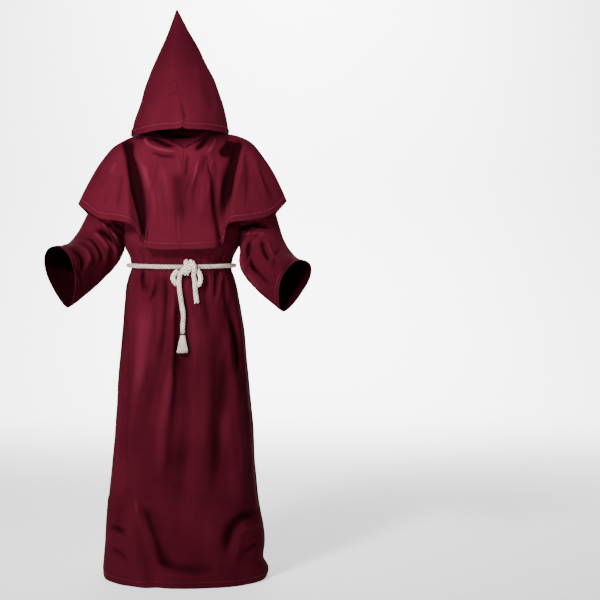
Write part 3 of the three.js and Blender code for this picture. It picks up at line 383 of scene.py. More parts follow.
def cape_point(side, q, r):
    """The cape's surface, r from 0 at its neck to 1 at its hem."""
    q, r = np.broadcast_arrays(np.asarray(q, float), np.asarray(r, float))
    row = row_at(CAPES[side], "q", q)
    shoulder, hem = vec(row["sx"], row["sy"], row["sz"]), vec(row["hx"], row["hy"], row["hz"])
    p = through_three(ring_point(side, q), shoulder, hem, r)
    out = unit(vec(p[..., 0], p[..., 1] * 1.3, 0))
    fold = np.zeros_like(q)
    for q0, q1, r0, r1, width, depth in zip(*CAPE_FOLDS.values()):
        along = (r - r0) / (r1 - r0)
        apart = (q - lerp(q0, q1, np.clip(along, 0, 1))) / width
        fade = ease(0, 0.3, along) * ease(1, 0.75, along)
        fold += np.where(along >= 0, depth * fade * np.exp(-apart * apart), 0)
    return p + out * fold[..., None]


def hood_shell(side, angle, z):
    """The hood's surface above its brim."""
    row = row_at(HOOD, "z", z)
    s, c = np.sin(np.radians(angle)), np.cos(np.radians(angle))
    shape = 2 / np.where(c >= 0, HOOD_FRONT_SHAPE, HOOD_BACK_SHAPE)
    blend = 2 / lerp(HOOD_FRONT_SHAPE, HOOD_BACK_SHAPE, ease(60, 120, angle))
    deep = np.where(c >= 0, row["mid"] - row["front"], row["back"] - row["mid"])
    wide = row["left"] if side < 0 else row["right"]
    return vec(row["ridge"] + side * wide * np.abs(s) ** blend, row["mid"] - deep * power(c, shape), z)


def hood_roll(side, angle, q, t):
    """The bottom of the hood, from its corner's level round and in to the neck of the cape."""
    start = hood_shell(side, angle, look_up(BRIM, "a", "z", angle))
    end = ring_point(side, np.maximum(q, HOOD_FROM_V)) + np.array([0, 0, -RING_TUCK])
    under = start + np.array([0, 0, -ROLL_DROP])
    near = (start + end) / 2 + np.array([0, 0, ROLL_LIFT])
    over = end + vec(side * 8 * np.sin(q * math.pi), -ROLL_FORWARD, 2 * ROLL_LIFT)
    near = lerp(near, over, ease(0.55, 0.2, q)[..., None])
    t3 = t[..., None]
    chord = lerp(ring_point(side, ROLL_SIDE_Q), ring_point(side, q), t3)
    swell = (ring_point(side, lerp(ROLL_SIDE_Q, q, t)) - chord) * 0.75 * (q < ROLL_SIDE_Q)[..., None]
    u = 1 - t3
    return swell + start * u**3 + 3 * under * u * u * t3 + 3 * near * u * t3 * t3 + end * t3**3


def creases(front, back):
    """Creases placed where they are seen from the front, or from behind as if seen through the front.

    A row gives start, middle and end in pixels, half widths in pixels on the left and right of the way from
    start to end, and depth in millimetres, a trough below zero. Its face is 1 in front and -1 behind."""
    rows = [f"{face} {row}" for face, text in ((1, front), (-1, back)) for row in text.strip().splitlines()]
    return table("face x0 y0 x1 y1 x2 y2 left right depth", "\n".join(rows))


SKIRT_CREASES = creases("""
141 286 138 390 126 510 4.5 4.5 4
129 300 126 400 120 480 3 3 -2.5
172 288 172 350 164 440 3.4 3.4 4
192 300 194 360 190 420 3 3 3
223 320 219 420 207 530 3.4 4 -2.2
236 360 241 440 244 520 3.4 3 3.5
143 268 141.5 281 148 297 1.4 2.6 -5
139 269 136 282 132 300 2.5 2.5 -2.5
145 295 152 297 159 274 2.2 1.3 -4
152 272 153 282 151 291 2 2 2.5
161 274 164 304 157 380 2.4 4.6 -5
168 272 172 296 169 334 2.6 2.2 3
158 325 152 380 138 450 6 6 -3.2
150 300 146 360 131 440 5 5 4
176 300 178 345 175 392 2.8 4 -4
188 330 184 425 170 515 8 10 -3.4
172 360 163 430 160 500 6 6 4.5
205 300 205 400 200 510 8 8 3.2
196 273 194 283 199 300 1.6 2.4 -4
206 270 207 284 203 303 2 2 -3
215 270 217 284 213 318 1.6 2.8 -5
222 272 220 290 214 312 2 1.4 3.5
224 274 227 300 231 330 2.4 2 -3.5
231 315 237 345 240 382 2.2 2.8 -5
230 330 220 430 208 522 8 10 -3.4
226 400 232 470 236 520 5 5 4
207 480 202 530 208 562 6 6 -1.5
141 372 136 425 124 486 4 6 -4
124 380 119 430 113 500 3 4 3.5
128 470 120 510 112 534 5 6 -2.5
134 494 144 528 162 570 2 2.4 7
139 500 149 540 168 574 2.4 8 -7
150 470 157 510 170 545 5 6 -1.5
107 527 117 530 129 536 1.6 2.8 -5
108 536 119 537 131 543 1.5 2 3
109 549 119 554 131 566 1.8 2.6 -4.5
118 560 126 566 136 572 1.6 2 3
150 556 188 572 232 564 2.2 7 -4.5
158 572 192 576 230 573 2 2 3.5
263 515 234 527 227 574 5.5 3.4 -6.5
260 524 246 529 232 540 1.6 2.4 3.5
244 534 236 550 236 568 3 3 3
262 543 250 548 238 560 1.8 2.8 -4
183 430 180 500 186 552 6 6 -1.5
214 560 218 566 216 575 2 2 2.5
139 249 142 256 145.5 263 0.9 1.2 -3
131 252 134 258 137 263 1 1.4 -2.5
215 250 211 255 207 261 0.9 1.2 -2.5
226 249 223 256 220 262 1.1 1.2 -3
158 253 160 258 161 263 1.2 1.2 -1.5
196 253 196 258 194 262 1.2 1.2 -1.5
""", """
150 268 148 284 153 302 1.6 2.6 -5
160 270 163 300 158 356 2.4 3.6 -6
176 272 180 310 176 350 2.6 3 -4.5
190 270 188 292 194 330 2.2 2.8 -5
208 270 210 286 204 312 1.8 2.8 -5
221 272 222 296 228 330 2.4 2 -3.5
170 330 165 430 157 515 7 9 -3.6
196 320 200 420 206 520 7 8 -3.8
220 340 226 430 225 520 6 8 -3.2
146 340 138 430 127 510 6 7 -3.2
182 380 182 460 178 530 6 6 3.2
112 530 124 533 138 541 1.8 2.8 -5
118 550 134 556 148 568 2 2.6 -4
256 520 240 526 222 536 1.8 3 -5
252 545 236 551 220 562 2 2.8 -4
164 562 190 568 212 564 2.6 4 -5
""")
SLEEVE_CREASES = creases("""
96 227 108 237 120 249 1.6 2.2 -6
104 223 115 231 127 243 1.6 2 -6
99 222 111 231 122 244 1.5 1.6 4
92 231 104 243 114 258 1.8 2 4
88 236 99 250 104 266 2 2.6 -4.5
72 245 88 255 84 272 2 2.4 4
69 248 83 259 79 276 2 2.6 -4.5
80 240 96 250 95 268 2.2 2.2 3
112 222 122 228 130 236 1.4 1.8 -4
92 290 106 276 122 256 2 3 2.5
70 262 80 274 84 292 2 2.4 -2.5
233 237 250 226 278 231 1.6 3 -9
235 242 252 233 281 239 2 1.5 4
236 229 252 220 274 220 1.5 1.5 4.5
247 237 240 255 248 273 2 2.4 4
253 238 248 256 256 277 2 3 -4.5
263 236 264 252 273 263 1.8 2.6 -4.5
269 239 271 252 280 258 1.8 1.8 3.5
240 262 252 280 268 297 2.4 3 3.5
246 259 259 275 273 288 2.2 3.2 -3.5
282 245 274 258 274 276 2 2.6 -3
296 259 285 266 279 280 2.3 2.8 -3.38
""", """
92 214 104 226 124 236 2.3 3.4 -6.75
88 226 100 242 118 254 2.3 3.4 -5.4
74 280 92 266 112 248 2.3 3.4 -5.4
240 230 256 222 272 222 1.8 2.8 -6.75
240 246 258 244 278 250 1.8 2.8 -5.4
244 266 258 270 272 284 2.1 2.8 -4.73
""")
CAPE_CREASES = creases("""
122 130 133 178 147 240 3.4 7.5 -11
145 135 155 149 184 150.5 2 2.2 11
149 131 161 141.6 184 146.5 3.2 2.2 -8
147 146 163 155.8 186 153 1.6 3.4 -4.5
159 136 166 141.5 177 145.5 1.2 1.2 3
233 139 227 148 219 158 4.6 5 -11
215 136 212 147 203 157 2 2.4 6
209 133 202 144 192 151 2.6 3 -7
202 157 212 161 224 158 1.6 1.6 1.5
201 156 194 176 187 200 2.4 2.8 4
188.5 151 187.5 164 186 178 2 2.2 -3
178 154 180 164 182 172 1.4 1.4 2
175 166 177 200 178 238 6 12 -4
163 160 161 196 160 238 6 5 1.2
196 160 190 180 186 200 2.4 2.4 -2.5
131 146 143 170 152 205 2.4 4 4
136 196 143 226 146 247 1.8 2.6 -7
119 156 108 180 98 208 2.6 3.4 3
112 170 106 190 104 214 2 3 -3
122 168 119 192 116 218 2.4 3 -3
128 178 127 200 128 224 2 2 2.6
104 160 93 182 86 200 2 2.6 -2
142 160 152 190 158 228 4 5 2.5
160 158 170 196 174 238 5 5 3
148 166 158 200 160 240 3 3 -2.5
190 158 200 190 199 238 4 4 2.4
209 150 200 172 192 212 3 3.6 -4
213 154 209 180 205 214 2 2.6 2.4
217 157 214 186 215 240 2.4 3 -3.5
242 136 231 174 218 234 5.6 4 -11.5
243 146 240 172 232 208 2 2.4 3
247 152 248 182 244 218 2.2 2.8 -2.6
251 148 260 176 268 210 2.4 3 2.6
256 158 266 182 277 204 1.8 2.4 -2.4
186 154 186 170 185 184 1.6 1.6 -1.5
176.5 204 176.8 226 180.6 247 0.5 0.5 -1.6
183.6 200 183.6 224 182.6 246 0.5 0.5 -1.6
180 205 180 226 181 245 1.4 1.4 0.8
""", """
128 150 132 180 138 224 2 3 -5
236 150 231 182 226 221 3 2 -5
150 160 154 196 156 240 3 3 -4
212 160 208 196 206 240 3 3 -4
170 150 174 190 172 244 4 4 3
192 150 190 190 193 244 4 4 3
112 162 102 186 94 212 2 3 -3
250 158 262 184 270 208 2 3 -3
""")
HOOD_CREASES = creases("""
168 94.5 175 92.8 183 94 0.7 1.5 -2.6
166 98 173 97 179 98.5 1.6 1.2 1.4
172 33 174 37 177 39 1 1.4 -2
178 41 182 40 186 37 1 1.6 -1.8
176.4 60 173 63 169 66 0.8 1.2 -1.2
176.6 66 180 68 184 69 0.8 1.2 -1.2
176.6 76 172 80 167 83 0.8 1.2 -1.4
178 84 181 90 187 94 0.8 1.4 -1.6
180 104 176 108 171 111 0.8 1.3 -1.3
182 112 186 115 191 118 0.8 1.3 -1.3
181 100 184 112 185 126 1.2 3 -2.4
150 100 152 112 158 124 3 4 -1.6
205 80 210 100 211 122 4 5 -2
160 60 158 80 160 100 4 4 1.4
196 60 198 85 196 110 5 5 1.8
""", """
150 96 158 110 168 118 2 3 -3
206 96 200 110 190 118 2 3 -3
160 70 168 84 176 92 2 3 -2
194 70 190 84 184 92 2 3 -2
""")
CREASE_DEPTH = 1.3  # the depths in the tables are multiplied by this


def seen(points, face):
    """Where points fall in the front view, in its pixels."""
    depth = np.where(face > 0, 1000 * EYE_DISTANCE / (1000 * EYE_DISTANCE + points[:, 1]), 1) / PX_MM
    return MID_PX + points[:, 0] * depth, EYE_PX - (points[:, 2] - 1000 * EYE_Z) * depth


def crease(points, normals, rows, soft=1.0):
    """How far creases push each point out, in millimetres; soft widens them."""
    flat, out = points.reshape(-1, 3), normals.reshape(-1, 3)
    push = np.zeros(len(flat))
    t = np.linspace(0, 1, 25)
    views = {face: (*seen(flat, face), ease(0.06, 0.4, -face * out[:, 1])) for face in (1, -1)}
    for face, x0, y0, x1, y1, x2, y2, left, right, depth in zip(*rows.values()):
        px, py, weight = views[face]
        mx, my = 2 * x1 - (x0 + x2) / 2, 2 * y1 - (y0 + y2) / 2
        cx = x0 * (1 - t) ** 2 + 2 * mx * t * (1 - t) + x2 * t * t
        cy = y0 * (1 - t) ** 2 + 2 * my * t * (1 - t) + y2 * t * t
        reach = 3 * max(left, right) * soft
        near = np.where((px > cx.min() - reach) & (px < cx.max() + reach) & (py > cy.min() - reach)
                        & (py < cy.max() + reach) & (weight > 0))[0]
        if not len(near):
            continue
        ax, ay, dx, dy = cx[:-1], cy[:-1], np.diff(cx), np.diff(cy)
        qx, qy = px[near, None] - ax, py[near, None] - ay
        u = np.clip((qx * dx + qy * dy) / (dx * dx + dy * dy), 0, 1)
        away = np.hypot(qx - u * dx, qy - u * dy)
        k = away.argmin(axis=1)
        line = np.arange(len(near))
        side = dx[k] * qy[line, k] - dy[k] * qx[line, k]
        along = (k + u[line, k]) / len(dx)
        width = np.where(side > 0, left, right) * soft
        push[near] += (CREASE_DEPTH * depth * weight[near] * ease(0, 0.22, along) * ease(1, 0.62, along)
                       * np.exp(-((away[line, k] / width) ** 2)))
    return push.reshape(points.shape[:-1])


# Small gathers above and below the belt: number, heights they reach, half width and depth
BELT_Z, BELT_RISE = -400, 5
GATHERS = 58
GATHER_WIDE, GATHER_DEEP = 1.5, 3.4
GATHER_UP, GATHER_DOWN = 60, 120
UNEVEN = 0.6180339887  # steps of this share of one give sizes that never repeat


def uneven(k, turn=1):
    """A number from 0 to 1 for item k, with no pattern that shows."""
    return (k * UNEVEN * turn + 0.37 * turn) % 1


def gathers(angle, z):
    """How far the small gathers at the belt draw the cloth in."""
    push = np.zeros(np.broadcast(angle, z).shape)
    for k in range(GATHERS):
        place = 360 * (k + 0.7 * uneven(k, 3.1)) / GATHERS - 180
        down = GATHER_DOWN * (0.35 + uneven(k, 1.7))
        up = GATHER_UP * (0.5 + uneven(k, 2.3))
        drop = BELT_Z - z
        fade = np.where(drop > 0, ease(down, 0, drop), ease(up, 0, -drop))
        spread = GATHER_WIDE * (0.6 + uneven(k, 5.3)) * (1 + np.maximum(drop, 0) / 90)
        apart = (angle - place - (uneven(k, 7.7) - 0.5) * drop * 0.05 + 180) % 360 - 180
        push -= GATHER_DEEP * (0.4 + uneven(k, 4.1)) * fade * np.exp(-((apart / spread) ** 2))
    return push


# Soft unevenness of hanging cloth: wavelengths in millimetres across and up, way, and height
RIPPLES = table("across up turn high", """
140 520 0.3 0.9
96 310 1.9 0.6
61 190 3.7 0.35
210 150 5.1 0.5
37 88 2.2 0.16
""")


def ripple(points):
    """How far the soft unevenness pushes each point."""
    x, y, z = points[..., 0], points[..., 1], points[..., 2]
    push = np.zeros(points.shape[:-1])
    for across, up, turn, high in zip(*RIPPLES.values()):
        bend = 0.8 * np.sin(2 * math.pi * z / (up * 2.7) + turn * 2)
        push += high * np.sin(2 * math.pi * (x * math.cos(turn) + y * math.sin(turn)) / across + bend + turn
                              ) * np.cos(2 * math.pi * z / up + turn * 1.3)
    return push


# Node graphs

class Value:
    """A socket of a node graph that takes part in sums like a number."""

    def __init__(self, graph, socket):
        self.graph, self.socket = graph, socket

    def __pow__(self, other):
        return self.graph.maths("POWER", self, other)

    def __neg__(self):
        return self.graph.maths("MULTIPLY", self, -1)


for short, operation in {"add": "ADD", "sub": "SUBTRACT", "mul": "MULTIPLY", "truediv": "DIVIDE"}.items():
    setattr(Value, f"__{short}__", lambda a, b, kind=operation: a.graph.maths(kind, a, b))
    setattr(Value, f"__r{short}__", lambda a, b, kind=operation: a.graph.maths(kind, b, a))


class Node:
    def __init__(self, graph, node):
        self.graph, self.node = graph, node

    def __getitem__(self, name):
        return Value(self.graph, self.node.outputs[name])


class Graph:
    """Adds nodes to a tree: type, then settings, then the values or links of its sockets."""

    def __init__(self, tree):
        self.tree = tree

    def node(self, kind, settings=None, values=None):
        made = self.tree.nodes.new(kind)
        for name, value in (settings or {}).items():
            setattr(made, name, value)
        for name, value in (values or {}).items():
            if isinstance(value, Value):
                self.tree.links.new(value.socket, made.inputs[name])
            else:
                made.inputs[name].default_value = value
        return Node(self, made)

    def maths(self, operation, *values):
        return self.node("ShaderNodeMath", {"operation": operation}, dict(enumerate(values)))[0]

    def sine(self, value):
        return self.maths("SINE", value)

    def vector(self, operation, *values, scale=None):
        inputs = dict(enumerate(values))
        if scale is not None:
            inputs["Scale"] = scale
        return self.node("ShaderNodeVectorMath", {"operation": operation}, inputs)[0]

    def colour(self, a, b, share, blend="MIX"):
        kind = {"data_type": "RGBA", "blend_type": blend}
        return self.node("ShaderNodeMix", kind, {0: share, 6: a, 7: b})[2]

    def read(self, name, output="Fac"):
        return self.node("ShaderNodeAttribute", {"attribute_name": name})[output]

    def noise(self, where, scale, detail, **more):
        values = {"Vector": where, "Scale": scale, "Detail": detail, **more}
        return self.node("ShaderNodeTexNoise", values=values)["Fac"]

    def bump(self, height, strength):
        values = {"Height": height, "Distance": 1.0, "Strength": strength}
        return self.node("ShaderNodeBump", values=values)["Normal"]

    def ramp(self, value, low, high):
        """0 at low, 1 at high, smooth between."""
        return self.node("ShaderNodeMapRange", {"interpolation_type": "SMOOTHSTEP"},
                         {"Value": value, "From Min": low, "From Max": high})["Result"]


TAU = 2 * math.pi
CLOTH_BASE = (0.031, 0.0027, 0.0062, 1)
CLOTH_LIGHT = (0.044, 0.004, 0.0088, 1)
# Painted highlight: the colour of the creases' ridges
CLOTH_PAINTED_HIGHLIGHT = (0.085, 0.0095, 0.0195, 1)
# Painted shade: the colour of the creases' troughs and of the cloth's inner faces
CLOTH_PAINTED_SHADE = (0.002, 0.0004, 0.0005, 1)
ROPE_BASE = (0.84, 0.72, 0.61, 1)
# The dark end of the yarn's uneven tone, and the painted shade in a laid rope's grooves
ROPE_DARK_AND_GROOVE_SHADE = (0.12, 0.06, 0.05, 1)
TWILL_PITCH = 0.0011  # metres between the ribs of the weave
HEM = 0.019  # metres from a hem's edge to its stitches


def surface(name, constants):
    """A material with its graph, its shader's constants set, and a method that feeds the shader."""
    made = bpy.data.materials.new(name)
    made.use_nodes = True
    shader = made.node_tree.nodes["Principled BSDF"]
    for socket, value in constants.items():
        shader.inputs[socket].default_value = value
    graph = Graph(made.node_tree)

    def feed(socket, value):
        graph.tree.links.new(value.socket, shader.inputs[socket])

    return made, graph, feed


def cloth_material():
    made, g, feed = surface("maroon twill", {
        "Sheen Weight": 0.02, "Sheen Roughness": 0.35, "Sheen Tint": (1, 0.15, 0.25, 1),
        "Specular IOR Level": 0.02, "Specular Tint": (1, 0.3, 0.4, 1), "IOR": 1.08})
    where = g.node("ShaderNodeTexCoord")["Object"]
    weave = g.node("ShaderNodeSeparateXYZ", values={0: g.node("ShaderNodeUVMap", {"uv_map": "weave"})[0]})
    across, along = weave[0], weave[1]
    broad = g.noise(where, 5.0, 3.0, Roughness=0.5)
    fine = g.noise(where, 900.0, 2.0)
    twill = g.sine((across + along * 0.55) * (TAU / TWILL_PITCH))
    tone = g.ramp(broad + twill * 0.02 + (fine - 0.5) * 0.25, 0.3, 0.75)
    dip = g.read("dip")
    inner = g.read("inner")
    # Painted shade: darker in the creases' troughs, and darkest on the inner faces, where the insides of
    # sleeves, hood and cape lie in shade
    deep = 0.9 * g.ramp(dip, 0.0008, 0.008) * (1.0 - inner) + 0.8 * inner
    # Painted highlight: lighter on the creases' ridges, but not on the inner faces
    proud = 0.5 * g.ramp(dip, -0.0008, -0.008) * (1.0 - inner)
    lit = g.colour(g.colour(CLOTH_BASE, CLOTH_LIGHT, tone), CLOTH_PAINTED_HIGHLIGHT, proud)
    feed("Base Color", g.colour(lit, CLOTH_PAINTED_SHADE, deep))
    feed("Roughness", 0.5 + broad * 0.12 + (fine - 0.5) * 0.06)
    sewn = g.read("sewn")
    hem = g.read("hem")
    groove = g.maths("EXPONENT", -((sewn / 0.0016) ** 2.0))
    stitched = g.maths("EXPONENT", -(((hem - HEM) / 0.0013) ** 2.0))
    folded = g.ramp(hem, HEM + 0.002, HEM - 0.001)
    pucker = g.noise(where, 70.0, 2.0)
    pull = g.ramp(sewn, 0.022, 0.0) + g.ramp(g.maths("ABSOLUTE", hem - HEM), 0.012, 0.0)
    crumple = g.noise(where, 16.0, 4.0, Roughness=0.55)
    height = (twill * 0.00004 + fine * 0.00008 + crumple * 0.0016 + pucker * pull * 0.0009
              - groove * 0.0011 - stitched * 0.0005 + folded * 0.0004)
    feed("Normal", g.bump(height, 0.75))
    return made


def rope_material(name, laid):
    """Cotton yarn; a laid rope has shade painted into the grooves between its strands."""
    made, g, feed = surface(name, {
        "Sheen Weight": 0.3, "Sheen Roughness": 0.6, "Specular IOR Level": 0.25, "Roughness": 0.9})
    where = g.node("ShaderNodeTexCoord")["Object"]
    along = g.read("along")
    around = g.read("around")
    fibre = g.noise(where, 700.0, 3.0)
    blotch = g.noise(where, 60.0, 3.0)
    core = g.read("core", "Vector")
    proud = g.node("ShaderNodeVectorMath", {"operation": "DISTANCE"}, {0: where, 1: core})["Value"]
    yarn = g.sine((around * 5.0 - along * 55.0) * TAU)
    tone = g.ramp(yarn * 0.22 + blotch * 0.5 + fibre * 0.5, 0.0, 0.75)
    # Painted shade: darker near the rope's core, in the grooves between its strands
    if laid:
        tone = tone * g.ramp(proud, 0.0056, 0.0075)
    feed("Base Color", g.colour(ROPE_DARK_AND_GROOVE_SHADE, ROPE_BASE, tone))
    height = yarn * 0.0003 + fibre * 0.0004
    feed("Normal", g.bump(height, 0.8))
    return made


def seat(made, slot, *nodes):
    """Puts a piece on the robe's one body, in place of its nodes."""
    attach(made, "root")
    if nodes:
        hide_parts(*nodes)
    return made


def plain_material(name, colour, roughness):
    return surface(name, {"Base Color": colour, "Roughness": roughness})[0]


CLOTH_LOOK = cloth_material()
ROPE_LOOK, FRAY_LOOK = rope_material("cream cotton rope", True), rope_material("cream cotton yarn", False)
THREAD_LOOK = plain_material("maroon thread", (0.05, 0.0045, 0.01, 1), 0.55)


# Cloth pieces: grids of points in millimetres, with gaps where a panel has no cloth

def neighbours(points, axis, closed):
    before, after = np.roll(points, 1, axis), np.roll(points, -1, axis)
    if not closed:
        first, last = [slice(None)] * 3, [slice(None)] * 3
        first[axis], last[axis] = 0, -1
        before[tuple(first)] = points[tuple(first)]
        after[tuple(last)] = points[tuple(last)]
    return np.where(np.isnan(before), points, before), np.where(np.isnan(after), points, after)


def normals_of(points, closed, axis_at):
    """Outward normals of a grid; axis_at is a point or points that the cloth goes round."""
    left, right = neighbours(points, 1, closed)
    above, below = neighbours(points, 0, False)
    n = unit(np.cross(right - left, below - above))
    flat = np.linalg.norm(n, axis=-1) < 0.5
    for i in np.where(flat.all(axis=1))[0]:
        n[i] = n[i + 1]
    facing = np.nansum(n * (points - axis_at) * np.array([1, 1, 0]))
    return n if facing > 0 else -n


def reach_along(points, axis):
    """Length along the cloth from its first row or column."""
    step = np.nan_to_num(np.linalg.norm(np.diff(points, axis=axis), axis=-1))
    start = np.zeros_like(np.take(step, [0], axis))
    return np.concatenate([start, np.cumsum(step, axis)], axis)


def plain(name):
    """The name of the piece that dresses a node."""
    return name.replace("rope", "laid_rope") if name.startswith("rope") else "soft_" + name


def object_of(name, corners, faces):
    mesh = bpy.data.meshes.new(plain(name))
    mesh.from_pydata(corners, [], faces)
    made = bpy.data.objects.new(plain(name), mesh)
    bpy.context.collection.objects.link(made)
    return made


def mark(made, label, values):
    """A number kept at each corner of a mesh, for its material or its node tree."""
    kept = made.data.attributes.new(label, "FLOAT", "POINT")
    kept.data.foreach_set("value", np.asarray(values, np.float32))


def smooth(made):
    made.data.polygons.foreach_set("use_smooth", [True] * len(made.data.polygons))


NODES = {"tunic_front": ["bodice_front", "skirt_front"], "tunic_back": ["bodice_back", "skirt_back"]}
FAR = 9.0  # stands for no seam or hem nearby, in metres
built = {}


def cloth_piece(name, points, axis_at, rows, closed=False, calm=1.0, extra=0.0, sewn=(), hems=(), fix=None,
                soft=1.0, painted_shade_and_highlight=1.0, strong=1.0):
    """A thin shell on a panel, with its creases pressed in, and its seams and hems marked."""
    normals = normals_of(points, closed, axis_at)
    if fix is not None:
        fix(normals)
    dip = crease(points, normals, rows, soft) * strong + extra
    push = (dip + ripple(points)) * calm
    # The creases' depth is kept as "dip", scaled for the material, which paints shade into the troughs and
    # highlight onto the ridges
    dip = np.nan_to_num(-dip * np.minimum(calm * 3, 1)) * painted_shade_and_highlight / 1000
    points = points + normals * np.nan_to_num(push)[..., None]
    normals = normals_of(points, closed, axis_at)
    if fix is not None:
        fix(normals)
    rows_n, cols_n = points.shape[:2]
    down, over = reach_along(points, 0), reach_along(points, 1)
    from_edge = {"top": down, "bottom": down.max(axis=0) - down,
                 "left": over, "right": over.max(axis=1)[:, None] - over}

    def nearest(edges):
        found = np.full((rows_n, cols_n), FAR)
        for edge in edges:
            found = np.minimum(found, edge if isinstance(edge, np.ndarray) else from_edge[edge] / 1000)
        return found

    sewn_at, hem_at = nearest(sewn), nearest(hems)
    kept = ~np.isnan(points[..., 0])
    corners, number = np.unique(np.round(points[kept], 3), axis=0, return_inverse=True)
    index = np.full((rows_n, cols_n), -1)
    index[kept] = number.reshape(-1)
    if closed:
        index = np.concatenate([index, index[:, :1]], axis=1)
    a, b, c, d = index[:-1, :-1], index[:-1, 1:], index[1:, 1:], index[1:, :-1]
    quads = np.stack([a, b, c, d], -1).reshape(-1, 4)
    quads = quads[(quads >= 0).all(axis=1)]
    # Wind the faces the way the normals point
    chosen = np.zeros((len(corners), 3))
    chosen[index[:, :cols_n][kept]] = normals[kept]
    p = corners[quads]
    turn = np.einsum("ij,ij->i", np.cross(p[:, 2] - p[:, 0], p[:, 3] - p[:, 1]), chosen[quads].sum(axis=1))
    if np.median(turn) < 0:
        quads = quads[:, ::-1]
    edges = np.concatenate([quads[:, [k, (k + 1) % 4]] for k in range(4)])
    edges = edges[edges[:, 0] != edges[:, 1]]
    ways = set(map(tuple, edges.tolist()))
    count = len(corners)
    faces = [[v for k, v in enumerate(q) if v != q[k - 1]] for q in quads.tolist()]
    faces += [[v + count for v in reversed(f)] for f in faces]
    faces += [[q, p, p + count, q + count] for p, q in ways if (q, p) not in ways]
    inside = corners - CLOTH * chosen
    both = (np.concatenate([corners, inside]) / 1000).tolist()
    made = object_of(name, both, [f for f in faces if len(f) > 2])
    smooth(made)
    u, v = np.zeros(count), np.zeros(count)
    u[index[:, :cols_n][kept]] = (over - over.mean(axis=1, keepdims=True))[kept] / 1000
    v[index[:, :cols_n][kept]] = down[kept] / 1000
    uv = np.stack([np.tile(u, 2), np.tile(v, 2)], axis=1)
    loops = np.zeros(len(made.data.loops), dtype=np.int32)
    made.data.loops.foreach_get("vertex_index", loops)
    made.data.uv_layers.new(name="weave").data.foreach_set("uv", uv[loops].reshape(-1).astype(np.float32))
    # Inner faces are marked so that the material paints shade on them
    mark(made, "inner", np.repeat([0.0, 1.0], count))
    for label, values in (("sewn", sewn_at), ("hem", hem_at), ("dip", dip)):
        flat = np.full(count, FAR)
        flat[index[:, :cols_n][kept]] = values[kept]
        mark(made, label, np.tile(flat, 2))
    made.data.materials.append(CLOTH_LOOK)
    seat(made, "cloth", *NODES.get(name, [name]))
    built[name] = {"object": made, "points": points, "normals": normals, "hem": hem_at}


def spread(a, b, count, press=0.0):
    """Places from a to b, closer together near both ends by press."""
    t = np.linspace(0, 1, count)
    return a + (b - a) * lerp(t, (1 - np.cos(math.pi * t)) / 2, press)


TUNIC_ACROSS, TUNIC_UPPER, TUNIC_LOWER = 151, 46, 176
BODY_AXIS, HOOD_AXIS = np.array([0.0, 0, 0]), np.array([-17.0, -25, 0])


def tunic(back):
    u = spread(-1, 1, TUNIC_ACROSS)
    t = np.linspace(0, 1, TUNIC_UPPER)
    upper = tunic_upper(u[None, :] + 0 * t[:, None], t[:, None] + 0 * u[None, :], back)
    z = spread(ARMPIT_Z, 1000 * FLOOR_Z + 0.2, TUNIC_LOWER)[1:, None]
    angle = panel_angle(u, back)[None, :] + 0 * z
    lower = body_point(angle, z)
    points = np.concatenate([upper, lower])
    extra = np.concatenate([np.zeros(upper.shape[:2]), gathers(angle, z + 0 * angle)])
    row = np.arange(len(points))
    calm = np.ones(points.shape[:2])
    calm[:TUNIC_UPPER] *= ease(1, 0.86, np.abs(u))[None, :]
    calm *= ease(0, 8, row)[:, None]

    def fix(normals):
        for j in (0, -1):
            normals[TUNIC_UPPER:, j, 1] = 0
            normals[TUNIC_UPPER:, j] = unit(normals[TUNIC_UPPER:, j])

    cloth_piece("tunic_back" if back else "tunic_front", points, BODY_AXIS, SKIRT_CREASES, calm=calm,
                extra=extra, sewn=("left", "right"), hems=("bottom",), fix=fix,
                soft=1.35, painted_shade_and_highlight=0.65, strong=1.25)


def sleeve(side):
    s = spread(0, SLEEVE_END, 120)[:, None]
    phi = (np.arange(132) * 360 / 132)[None, :]
    points = sleeve_point(side, s + 0 * phi, phi + 0 * s)
    axis_at = points.mean(axis=1, keepdims=True)
    cloth_piece("sleeve_left" if side < 0 else "sleeve_right", points, axis_at, SLEEVE_CREASES,
                closed=True, calm=ease(0, 0.7, s), sewn=("top",), hems=("bottom",), painted_shade_and_highlight=0.9, strong=1.35)


def cape(name, places):
    """A panel of the cape; places gives the side and q of each column."""
    r = np.linspace(0, 1, 96)[:, None]
    side = np.array([p[0] for p in places])
    q = np.array([p[1] for p in places])[None, :]
    left, right = cape_point(-1, q, r), cape_point(1, q, r)
    points = np.where((side < 0)[None, :, None], left, right)
    cloth_piece(name, points, BODY_AXIS, CAPE_CREASES, calm=ease(0, 0.06, r),
                sewn=("top", "left", "right"), hems=("bottom",))


# How far the hood's left corner hangs below the right one, and over how many degrees
CORNER_DROP, CORNER_WIDE = 9, 34


